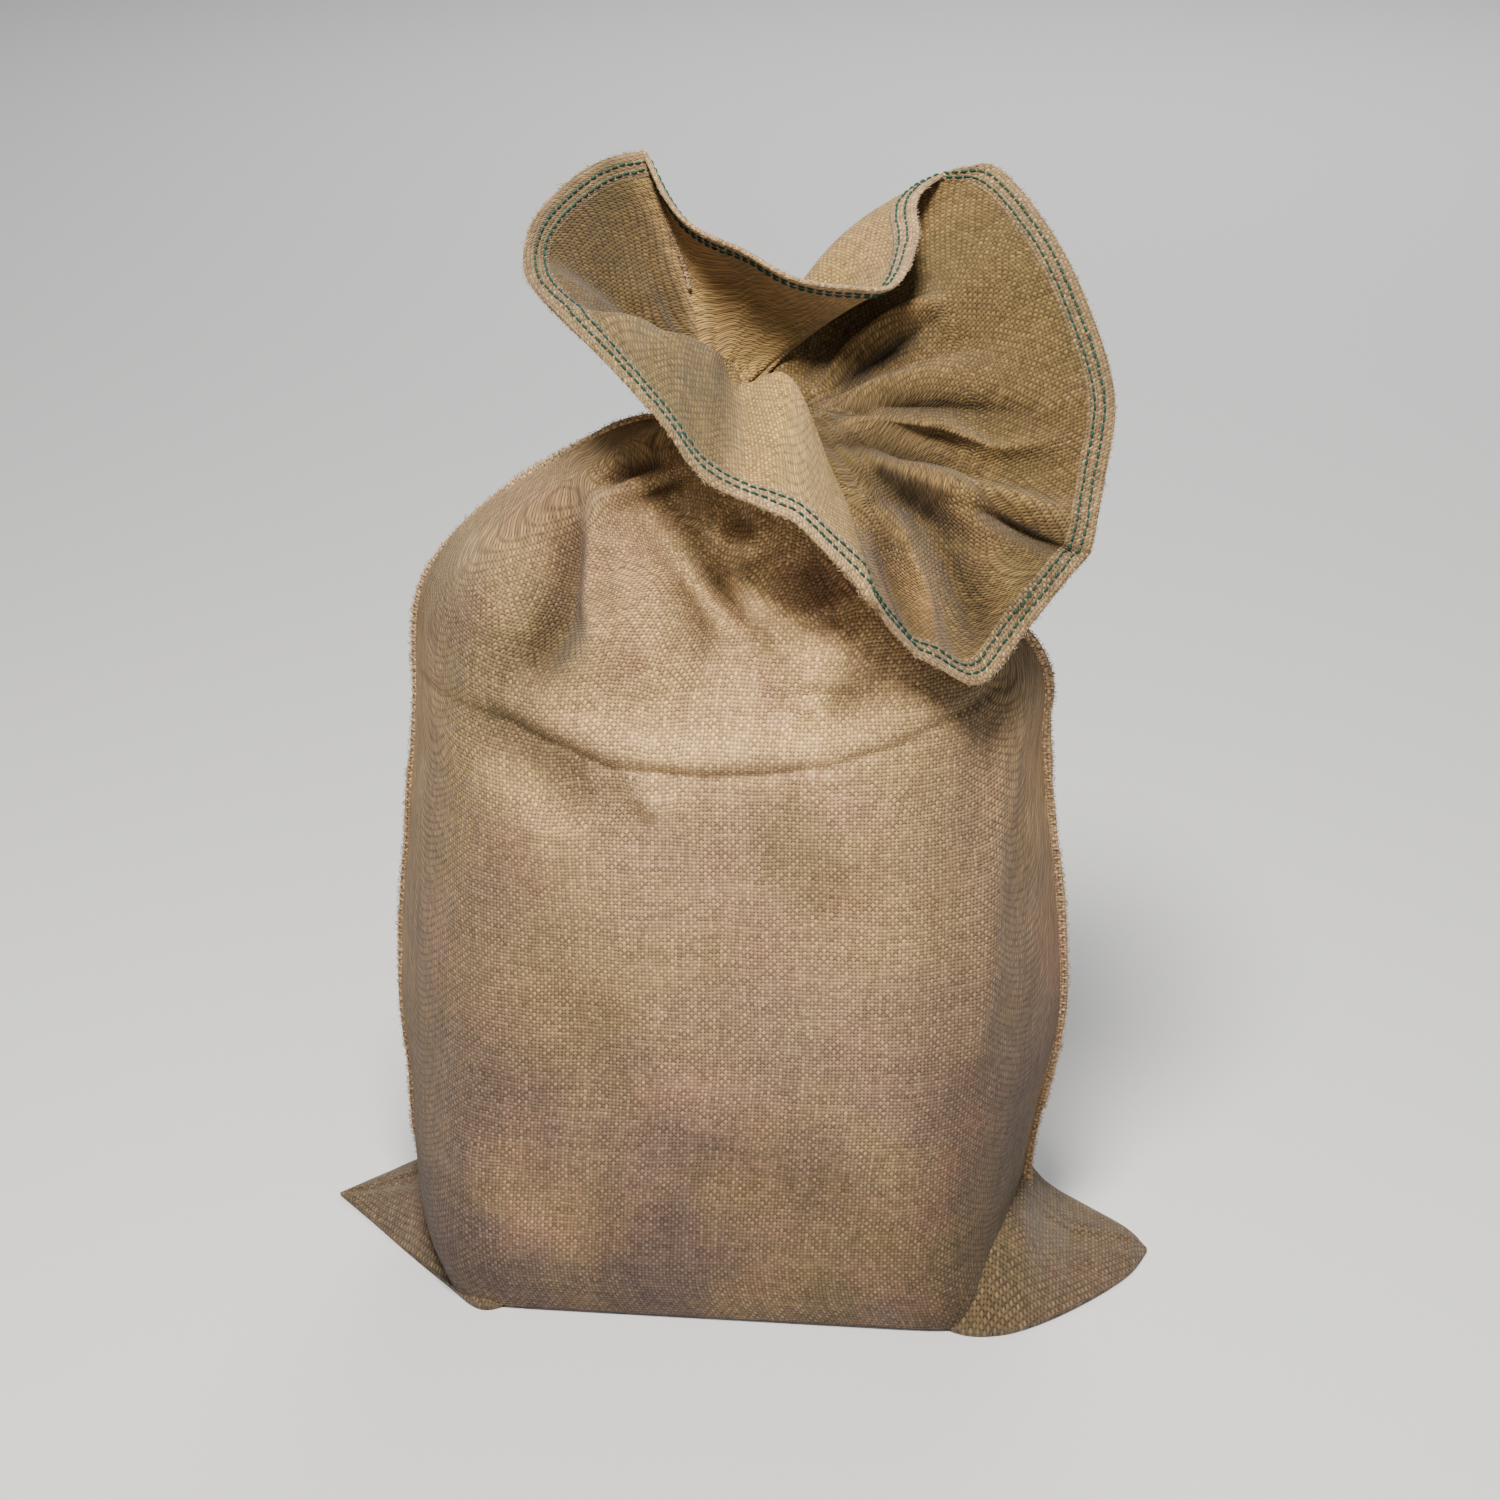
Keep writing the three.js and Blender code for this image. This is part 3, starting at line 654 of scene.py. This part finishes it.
gather = pleats(share, from_neck / 95.0)
swell = value_noise(share[None, :] * 7 + 0 * body[..., 0], body[..., 2] / 90, 3, 14) * 2.4
swell += value_noise(share[None, :] * 16 + 0 * body[..., 0], body[..., 2] / 42, 4, 32) * 1.1
near_neck = np.exp(-(from_neck / 60) ** 2)
lift = swell * (1 - near_neck) * smooth(body[..., 2], 0, 60)
lift += (gather - 0.55) * 7.5 * np.exp(-(from_neck / 150) ** 1.5)
FRONT_FOLDS = [   # (x, z) of each fold on the front panel, its width and its height
    ([(-103, 556), (-103, 524), (-105, 496), (-118, 472), (-134, 461)], 15, -8),
    ([(-88, 565), (-90, 534), (-91, 506), (-82, 483), (-86, 467)], 8, 4.5),
    ([(-153, 535), (-156, 502), (-158, 473)], 26, 4),
    ([(-67, 550), (-65, 519), (-57, 488), (-47, 467)], 14, 3),
    ([(-35, 523), (-23, 504), (-15, 485), (-18, 462)], 10, -4.2),
    ([(-56, 563), (-36, 538), (-14, 512), (13, 486), (38, 460), (59, 440)], 8, 6),
    ([(-21, 535), (-5, 512), (17, 484), (42, 455), (51, 444)], 9, -6.5),
    ([(-87, 572), (-66, 580), (-44, 585)], 6, -5),
    ([(-85, 563), (-63, 573), (-39, 580)], 5, 4),
    ([(-62, 562), (-46, 573), (-30, 578)], 5, -4.5),
    ([(-18, 561), (-12, 552), (1, 543), (13, 542), (19, 549), (20, 559)], 6, 2.2),
    ([(-4, 562), (1, 553), (9, 553), (12, 559)], 8, -2.2),
    ([(44, 541), (55, 525), (62, 505)], 20, -4),
    ([(11, 530), (16, 513), (28, 496)], 12, 5),
    ([(59, 496), (63, 476), (63, 455)], 22, 4),
    ([(88, 475), (80, 451), (68, 437)], 16, -3.5),
    ([(-207, 427), (-146, 427), (-104, 418), (-72, 406), (-46, 405), (-14, 403), (25, 406), (68, 412),
      (112, 423), (149, 437), (179, 446)], 4.2, -1.7),
    ([(-192, 445), (-146, 440), (-102, 430), (-69, 418), (-15, 416), (24, 418), (68, 424), (112, 435),
      (158, 450)], 13, 1.9),
    ([(-70, 404), (-63, 389), (-55, 373), (-46, 359)], 9, -2.2),
    ([(-55, 395), (-42, 386), (-27, 382)], 12, 2.5),
    ([(-172, 432), (-142, 422), (-101, 396), (-81, 365)], 22, -5),
    ([(-165, 395), (-120, 372), (-92, 340)], 26, 3),
    ([(-120, 300), (-90, 230), (-70, 160)], 34, -2.2),
    ([(20, 380), (60, 330), (95, 300)], 30, -1.8),
    ([(-30, 150), (40, 110), (110, 100)], 26, -1.8),
    ([(-180, 130), (-150, 90), (-110, 60)], 20, 2.2),
    ([(185, 439), (177, 389), (170, 342), (169, 275), (166, 207)], 12, 4),
]
BACK_FOLDS = [
    ([(-198, 440), (-120, 428), (-40, 418), (40, 420), (120, 430), (176, 440)], 4.2, -1.7),
    ([(-180, 455), (-100, 441), (0, 432), (100, 441), (150, 450)], 14, 1.9),
    ([(-110, 560), (-112, 510), (-130, 470)], 14, -6),
    ([(-70, 570), (-62, 520), (-70, 470)], 12, 5),
    ([(-30, 565), (-28, 520), (-20, 478)], 11, -6),
    ([(40, 560), (52, 515), (60, 462)], 13, 5.5),
    ([(80, 545), (98, 505), (106, 470)], 12, -6),
    ([(60, 405), (52, 370), (40, 340)], 8, -4),
    ([(-90, 330), (-60, 250), (-64, 180)], 26, -3),
]
body_xz = body[..., [0, 2]]
on_back = (np.mod(share, 2) <= 1)[None, :]
folds = 2.3 * np.where(on_back, strokes(body_xz, BACK_FOLDS), strokes(body_xz, FRONT_FOLDS))
lift += folds
radial = from_neck_axis(body)
way = normal * (1 - near_neck[..., None]) + radial * near_neck[..., None]
body = body + way * lift[..., None]
body[..., 2] = np.maximum(body[..., 2], CLOTH_LOW)

# the folded bottom, closing under the sack to the middle
UNDER = 14
foot = body[0]
under = []
for k in range(UNDER, 0, -1):
    ring = foot.copy()
    ring[:, 1] *= 1 - k / UNDER
    ring[:, 0] *= 1 - 0.03 * k / UNDER
    ring[:, 2] = CLOTH_LOW
    under.append(ring)
cloth = np.concatenate([np.array(under), body])
x, y, z = cloth[..., 0], cloth[..., 1], cloth[..., 2]

# These tones were fitted to the brightness of each part of the photograph. The low one is partly
# dirt and partly painted shade; the sides and the shoulder are painted shade, the creases are painted
# shade in the grooves and painted light on the ridges, and the glow is a painted highlight beside a
# painted shadow. All of it stays in any light.
dirt_and_painted_shade = 0.42 + 0.58 * smooth(z, -40, 300)
# painted shade on both sides of the sack
left_side = 0.50 + 0.50 * smooth(x + 0.35 * np.clip(200 - z, 0, 200), -215, -60)
sides = left_side * (0.46 + 0.54 * (1 - smooth(x, 95, 185)))
front = smooth(-y, -20, 60)
# painted shade on the left shoulder
shoulder_shade = 1 - 0.36 * smooth(z, 435, 470) * (1 - smooth(x, -70, -10))
# a painted highlight below the neck and a painted shadow under the right of the mouth
painted_light_and_shadow = 1 + 0.22 * np.exp(-((x - 20) / 75) ** 2 - ((z - 425) / 42) ** 2)
painted_light_and_shadow -= 0.34 * np.exp(-((x - 150) / 60) ** 2 - ((z - 455) / 40) ** 2)
creases = np.concatenate([np.zeros((UNDER, COLS)), folds])
tone = dirt_and_painted_shade * (1 + (sides - 1) * (0.45 + 0.55 * front)) * shoulder_shade * painted_light_and_shadow
# painted shade in the folds' grooves and painted light on their ridges; the noise is a random tone
tone *= np.clip(1 + 0.055 * creases, 0.5, 1.3) * (1 + 0.08 * value_noise(x / 38 + 9, z / 45 + 4, 17))
sack_body = shell("sack_body", cloth, woven_uv(cloth, 0.0), BODY_HALF, BODY_HALF, True, BODY_CLOTH,
                  (tone, tone))
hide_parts("front_panel", "back_panel", "bottom_panel", "neck_gather")
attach(sack_body, "root")

# ---- mouth ---------------------------------------------------------------------------------
M_COLS = 900
M_ROWS = 110
m_share = np.arange(M_COLS) * 2 / M_COLS
m_out = np.linspace(0, 1, M_ROWS)
mouth = mouth_surface(m_share, m_out)
m_arc = climb(mouth)
m_normal = grid_normals(mouth, True)
m_gather = pleats(m_share, m_arc / 105.0)
m_near = np.exp(-(m_arc / 26) ** 2)
m_lift = (m_gather - 0.5) * 7.5 * np.exp(-(m_arc / 120) ** 1.6)
m_lift += value_noise(m_share[None, :] * 18 + 0 * m_arc, m_arc / 60, 9, 36) * 1.2 * smooth(m_arc, 10, 80)
m_radial = from_neck_axis(mouth)
m_way = m_normal * (1 - m_near[..., None]) + m_radial * m_near[..., None]
FAN_FOLDS = [     # (x, y, z) of each fold on the inner face of the fan, towards the viewer
    ([(47, 34, 617), (70, 52, 638), (95, 60, 655), (117, 64, 666), (126, 66, 669)], 6, 5),
    ([(52, 26, 614), (74, 39, 629), (98, 49, 645), (117, 56, 655)], 8, -5),
    ([(55, 3, 613), (89, 31, 621), (127, 41, 629), (166, 44, 633)], 12, 3),
    ([(55, -6, 610), (88, 17, 612), (134, 23, 612), (182, 26, 608)], 8, -4.5),
    ([(52, -11, 608), (89, 14, 605), (129, 19, 601), (161, 15, 585), (199, 20, 592)], 7, 6),
    ([(55, -15, 602), (91, -7, 595), (123, -4, 583), (154, -2, 573)], 8, -5),
    ([(71, -14, 592), (117, -15, 578), (146, -18, 568), (185, -14, 558), (217, -13, 551)], 9, 5),
    ([(88, -14, 585), (101, -23, 567), (138, -28, 548), (177, -35, 529)], 9, -4),
    ([(149, -20, 564), (183, -25, 548), (223, -28, 531)], 7, -5),
    ([(85, -31, 565), (106, -41, 542), (119, -58, 516), (130, -82, 489)], 9, 4.5),
    ([(88, -28, 575), (98, -45, 545), (110, -66, 515), (124, -88, 490)], 9, -5),
    ([(115, -23, 562), (138, -38, 532), (156, -55, 501), (166, -68, 480)], 11, -5),
    ([(129, -21, 565), (158, -31, 540), (177, -42, 517), (191, -49, 504)], 14, 4),
]
on_fan = smooth(m_share, 0.55, 0.62) * (1 - smooth(m_share, 1.26, 1.34))
fan_folds = strokes(mouth, FAN_FOLDS) * on_fan[None, :] * 2.4
m_lift -= fan_folds
mouth = mouth + m_way * m_lift[..., None]

# a hidden tail that reaches down inside the body's neck
tail = []
for k in range(TAIL, 0, -1):
    ring = neck_points(m_share, TAIL_START - TAIL_NARROW * k, -TAIL_STEP * k)
    ring[:, 1] += TAIL_LEAN * max(k - TAIL_UPRIGHT, 0)
    wave = (pleats(m_share, np.zeros((1, 1)))[0] - 0.5) * (5.5 - 0.25 * k)
    ring += m_radial[0] * wave[:, None]
    tail.append(ring)
mouth_cloth = np.concatenate([np.array(tail), mouth])
m_uv = woven_uv(mouth_cloth, MOUTH_WEAVE_AT)
# (share, tone) of the mouth's inner face, also fitted to the photograph's brightness: painted shade
# inside the mouth, with painted light on the tongue
INNER_TONE = [(0, 1.0), (0.3, 0.92), (0.42, 0.60), (0.65, 0.44), (0.9, 0.38), (1.1, 0.46), (1.2, 0.56),
              (1.28, 0.62), (1.305, 1.00), (1.36, 1.15), (1.468, 1.12), (1.495, 0.48), (1.55, 0.42),
              (1.60, 0.56), (1.70, 0.50), (1.8, 0.34), (1.9, 0.29), (1.96, 0.36), (1.985, 0.9), (2, 1.0)]
inner = np.interp(m_share, *np.array(INNER_TONE).T)
# painted shade in the fan's grooves and painted light on its ridges; the noise below is a random tone
inner_tone = inner[None, :] * np.clip(1 + 0.045 * fan_folds, 0.6, 1.5)
inner_tone *= 1 + 0.10 * value_noise(mouth[..., 0] / 30 + 9, mouth[..., 2] / 30 + 4, 18)
inner_tone = np.concatenate([np.repeat(inner_tone[:1], TAIL, 0), inner_tone])
mouth_sheet = shell("mouth_cloth", mouth_cloth[:-2], m_uv[:-2], MOUTH_HALF, MOUTH_HALF, True,
                    MOUTH_CLOTH, (0.98, inner_tone[:-2]))
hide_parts("mouth_front_panel", "mouth_back_panel")
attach(mouth_sheet, "mouth")


# ---- hem, stitches and frayed edge -----------------------------------------------------------
mouth_normal = grid_normals(mouth, True)


def at_distance(distance):
    """Points and normals of the mouth at a distance (mm) below the rim, one of each per column."""
    t = m_arc[-1] - distance
    index = np.array([np.interp(t[c], m_arc[:, c], np.arange(M_ROWS)) for c in range(M_COLS)])
    low = np.clip(index.astype(int), 0, M_ROWS - 2)
    w = (index - low)[:, None]
    cols = np.arange(M_COLS)
    return mouth[low, cols] * (1 - w) + mouth[low + 1, cols] * w, mouth_normal[low, cols]


hem_rows = 10
hem_grid = np.array([at_distance(HEM_WIDE * (1 - k / (hem_rows - 1)))[0] for k in range(hem_rows)])
hem_uv = woven_uv(hem_grid, HEM_WEAVE_AT)
hem_tone = np.linspace(0.86, 1.12, hem_rows)[:, None]
edge_noise = value_noise(m_share[None, :] * 70, np.arange(hem_rows)[:, None] * 0.3, 21, 140)
profile = np.array([0.35, 0.9, 1, 1, 1, 1, 1, 1.05, 1.15, 0.55])[:, None]
# the hem's inner face takes the painted shade and light of the mouth's inner face
mouth_hem = shell("hem_band", hem_grid, hem_uv, 1.9 * profile + 0.25 * edge_noise,
                  1.3 * profile + 0.15 * edge_noise, True, HEM_CLOTH,
                  (hem_tone, hem_tone * (0.35 + 0.7 * inner[None, :])))
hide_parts("mouth_hem")
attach(mouth_hem, "mouth")


def stitch_row(name, distance, node, pitch=6.0, length=4.2):
    """Running stitches on both faces of the hem, at a distance from the rim."""
    line, norm = at_distance(distance)
    loop = np.concatenate([line, line[:1]])
    run = run_along(loop)
    count = int(run[-1] / pitch)
    centres = (np.arange(count) + 0.5) * run[-1] / count
    paths, ups = [], []
    shape = np.array([-0.5, -0.42, -0.2, 0.0, 0.2, 0.42, 0.5])
    sink = np.array([-0.9, 0.05, 0.45, 0.55, 0.45, 0.05, -0.9])
    local = np.random.default_rng(int(distance * 10))
    for face, offset in ((1, 2.05), (-1, 1.45)):
        for c in centres + (0.0 if face > 0 else pitch * 0.1):
            s = c + shape * length * local.uniform(0.9, 1.08)
            s = np.mod(s, run[-1])
            p = np.stack([np.interp(s, run, loop[:, a]) for a in range(3)], 1)
            n = np.stack([np.interp(s, run, np.append(norm[:, a], norm[0, a])) for a in range(3)], 1)
            n /= np.linalg.norm(n, axis=1, keepdims=True)
            drift = local.normal(0, 0.18)
            side = np.cross(p[-1] - p[0], n[3])
            side /= max(np.linalg.norm(side), 1e-9)
            paths.append(p + n * face * (offset + sink)[:, None] + side * drift)
            ups.append(n[3])
    obj = tubes(name, np.array(ups), np.array(paths), np.full(len(paths), 0.78), GREEN, 6)
    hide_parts(node)
    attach(obj, "mouth")
    return obj


outer_row = stitch_row("hem_stitches_outer", OUTER_ROW, "outer_hem_thread")
inner_row = stitch_row("hem_stitches_inner", INNER_ROW, "inner_hem_thread")

RIM_FIBRES = 1500
rim_line, rim_norm = at_distance(0.6)
below, _ = at_distance(5.0)
pick = rng.uniform(0, M_COLS, RIM_FIBRES)
base_i = pick.astype(int)
tangent = np.roll(rim_line, -1, 0) - np.roll(rim_line, 1, 0)
tangent /= np.linalg.norm(tangent, axis=1, keepdims=True)
outdir = rim_line - below
outdir /= np.linalg.norm(outdir, axis=1, keepdims=True)
fib_len = rng.uniform(0.8, 2.6, RIM_FIBRES) * np.where(rng.uniform(size=RIM_FIBRES) > 0.96, 1.8, 1)
lean = rng.normal(0, 0.75, RIM_FIBRES)
tilt = rng.normal(0, 0.35, RIM_FIBRES)
start = rim_line[base_i] + rim_norm[base_i] * rng.uniform(-1.0, 1.4, RIM_FIBRES)[:, None]
steps = np.linspace(0, 1, 5)
paths = (start[:, None] + fib_len[:, None, None] * (
    steps[None, :, None] * (outdir[base_i] + rim_norm[base_i] * tilt[:, None])[:, None]
    + (steps ** 1.6)[None, :, None] * (tangent[base_i] * lean[:, None])[:, None]))
rim_fray = tubes("hem_fray", rim_norm[base_i], paths, rng.uniform(0.12, 0.3, RIM_FIBRES), JUTE, 3, 0.5)
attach(rim_fray, "mouth")


# ---- side seams ------------------------------------------------------------------------------
def seam_fin(name, grid, normal_grid, column, width, node, body_name, seed, uv_at, rows):
    """A sewn seam standing out of the cloth: both selvedges, whipped over with jute thread."""
    out = normal_grid[rows, column]
    out = out / np.linalg.norm(out, axis=1, keepdims=True)
    on_body = width > BODY_SEAM_MIN
    line = grid[rows, column] + out * (0 if on_body else MOUTH_SEAM_LIFT)
    ahead = np.gradient(line, axis=0)
    ahead /= np.linalg.norm(ahead, axis=1, keepdims=True)
    wave = value_noise(np.arange(len(line)) * 0.11, np.zeros(len(line)), seed)
    wide = width * (1 + 0.18 * value_noise(np.arange(len(line)) * 0.23, np.zeros(len(line)), seed + 1))
    side = np.cross(ahead, out)
    spread = np.linspace(0, 1, 6)
    fin = (line[:, None] + out[:, None] * (wide[:, None] * spread[None, :])[..., None]
           + side[:, None] * (wave[:, None] * 2.2 * spread[None, :] ** 1.5)[..., None])
    runs = run_along(line)
    uvs = np.stack(np.broadcast_arrays(uv_at + (spread * width * MM)[None, :], (runs * MM)[:, None]), -1)
    obj = shell(name, fin, uvs, BODY_HALF, BODY_HALF, False, SEAM_CLOTH)
    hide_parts(node)
    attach(obj, body_name)

    def at(values, c):
        return np.stack([np.interp(c, runs, values[:, a]) for a in range(3)], -1)

    local = np.random.default_rng(seed)
    count = int(runs[-1] / WHIP_PITCH)
    paths, ups = [], []
    bend = np.linspace(0, math.pi, 9)
    for c in (np.arange(count) + 0.5) * runs[-1] / count:
        c = c + local.normal(0, 0.5)
        centre, o, s, f = at(fin[:, 3], c), at(out, c), at(side, c), at(ahead, c)
        w = np.interp(c, runs, wide)
        paths.append(centre + o * (np.sin(bend) * w * 0.75 - w * 0.3)[:, None]
                     + s * (np.cos(bend) * 2.0)[:, None] + f * (np.linspace(-1, 1, 9) * 1.4)[:, None])
        ups.append(f)
    whip = tubes(name + "_stitches", np.array(ups), np.array(paths), np.full(len(paths), 0.5), JUTE, 5)
    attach(whip, body_name)
    n = int(runs[-1] * (BODY_FRAY if on_body else MOUTH_FRAY))
    c = local.uniform(0, runs[-1], n)
    tip, o, s, f = at(fin[:, -1], c), at(out, c), at(side, c), at(ahead, c)
    size = local.uniform(0.8, 3.2, n)
    path = (tip[:, None] - o[:, None] * 0.6 + size[:, None, None] * (
        steps[None, :, None] * (o + s * local.normal(0, 0.4, n)[:, None])[:, None]
        + (steps ** 1.5)[None, :, None] * (f * local.normal(0, 0.7, n)[:, None])[:, None]))
    fray = tubes(name + "_fray", s, path, local.uniform(0.12, 0.28, n), JUTE, 3, 0.5)
    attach(fray, body_name)
    return obj, whip, fray


body_normal = grid_normals(body, True)
body_rows = np.arange(2, ROWS - 14, 2)
left_seam = seam_fin("body_seam_left", body, body_normal, 0, 3.5,
                     "left_side_seam", "root", 31, 0.0, body_rows)
right_seam = seam_fin("body_seam_right", body, body_normal, COLS // 2, 6.0,
                      "right_side_seam", "root", 41, 0.3, body_rows)
mouth_rows = np.arange(42, M_ROWS - 12, 2)
mouth_left = seam_fin("mouth_seam_left", mouth, mouth_normal, 0, 2.6,
                      "mouth_left_seam", "mouth", 51, 0.0, mouth_rows)
mouth_right = seam_fin("mouth_seam_right", mouth, mouth_normal, M_COLS // 2, 2.6,
                       "mouth_right_seam", "mouth", 61, 0.3, mouth_rows)


# ---- bottom corners --------------------------------------------------------------------------
def corner_ear(name, front_edge, back_edge, root_x, nodes, heights, seed):
    """One flat bottom corner: two layers with air between them, seamed along the middle of its top.
    Both edges run from inside the sack's foot to the tip; heights are (x, height) along it."""
    n_a, n_b = 90, 64
    a = np.linspace(0, 1, n_a)
    b = np.linspace(-1, 1, n_b)[None, :]
    f_edge = catmull(np.array(front_edge, float), a)
    b_edge = catmull(np.array(back_edge, float), a)
    s = ((b + 1) / 2)[..., None]
    plan = f_edge[:, None] * (1 - s) + b_edge[:, None] * s
    x, high = np.array(heights, float).T
    order = np.argsort(x)
    crown = np.interp(plan[..., 0], x[order], high[order])
    a = a[:, None]
    crown = crown * (1 - np.abs(b) ** 2.6) * (1 - a ** 9)
    lump = value_noise(a * 6 + 0 * b, b * 2.5 + 0 * a + 7, seed) * 2.6
    lump += value_noise(a * 15 + 0 * b, b * 6 + 0 * a + 3, seed + 1) * 0.8
    ridge = 2.0 * np.exp(-((b - 0.02) / 0.05) ** 2) - 1.6 * np.exp(-((b - 0.13) / 0.06) ** 2)
    top = 2.6 + crown + (ridge + lump) * (1 - np.abs(b) ** 4) * (1 - a ** 8)
    upper = np.concatenate([plan, np.maximum(top, 1.8)[..., None]], -1)
    lower = np.concatenate([plan, np.full_like(top, 0.5)[..., None]], -1)
    points = np.concatenate([upper.reshape(-1, 3), lower.reshape(-1, 3)])
    size = n_a * n_b
    i, j = np.meshgrid(np.arange(n_a - 1), np.arange(n_b - 1), indexing="ij")
    i, j = i.ravel(), j.ravel()
    q = np.stack([i * n_b + j, (i + 1) * n_b + j, (i + 1) * n_b + j + 1, i * n_b + j + 1], 1)
    ring = ([(0, k) for k in range(n_b)] + [(k, n_b - 1) for k in range(1, n_a)]
            + [(n_a - 1, k) for k in range(n_b - 2, -1, -1)] + [(k, 0) for k in range(n_a - 2, 0, -1)])
    idx = np.array([r * n_b + c for r, c in ring])
    nxt = np.roll(idx, -1)
    faces = np.concatenate([q, q[:, ::-1] + size, np.stack([idx, nxt, nxt + size, idx + size], 1)[:, ::-1]])
    sign = math.copysign(1, root_x)
    if sign < 0:
        faces = faces[:, ::-1]
    flat_uv = np.concatenate([plan.reshape(-1, 2) * MM] * 2) + np.array([0.0, 0.12])
    obj = make_mesh(name, points, faces, flat_uv[faces.ravel()], CORNER_HESSIAN_SHADED)
    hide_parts(*nodes)
    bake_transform(obj)
    return obj


left_ear = corner_ear(
    "left_corner",
    [(-120, -70), (-142, -108), (-165, -123), (-198, -94), (-231, -60), (-264, -24), (-296, 10)],
    [(-120, 70), (-142, 106), (-165, 121), (-198, 100), (-231, 76), (-264, 44), (-296, 10)],
    -231, ("left_corner_root", "left_corner_flap"),
    [(-120, 24), (-190, 42), (-215, 32), (-240, 17), (-280, 6), (-296, 2)], 71)
right_ear = corner_ear(
    "right_corner",
    [(120, -70), (142, -106), (166, -121), (190, -119), (214, -106), (252, -72), (281, -36), (293, -8)],
    [(120, 70), (142, 106), (160, 121), (188, 100), (214, 78), (250, 46), (279, 18), (293, -6)],
    214, ("right_corner_root", "right_corner_flap"),
    [(120, 30), (180, 66), (205, 50), (219, 30), (238, 17), (264, 12), (286, 8), (294, 4)], 81)

# ---- hidden filling --------------------------------------------------------------------------
F_COLS = 96
f_share = np.arange(F_COLS) * 2 / F_COLS
levels = np.linspace(0.02, 0.84, 40)
core = body_surface(f_share, levels)
core_normal = grid_normals(core, True)
lumps = value_noise(f_share[None, :] * 12 + 0 * core[..., 0], core[..., 2] / 38, 91, 24) * 2.2
inset = 10 + 20 * smooth(core[..., 2], 380, 450)
core = core - core_normal * (inset - lumps)[..., None]
core[..., 2] = np.maximum(core[..., 2], 4.0)
points = np.concatenate([core.reshape(-1, 3), core[0].mean(0)[None], core[-1].mean(0)[None]])
faces = []
for j in range(len(levels) - 1):
    for i in range(F_COLS):
        k = (i + 1) % F_COLS
        faces.append((j * F_COLS + i, (j + 1) * F_COLS + i, (j + 1) * F_COLS + k, j * F_COLS + k))
end = len(points)
top = (len(levels) - 1) * F_COLS
for i in range(F_COLS):
    k = (i + 1) % F_COLS
    faces.append((end - 2, i, k))
    faces.append((end - 1, top + k, top + i))
loops = np.concatenate([np.array(f) for f in faces])
fill_uv = np.stack([points[:, 0] + points[:, 1], points[:, 2]], 1) * MM
filling = make_mesh("filling_bulk", points, faces, fill_uv[loops], FILL_CLOTH)
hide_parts("filling")
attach(filling, "root")
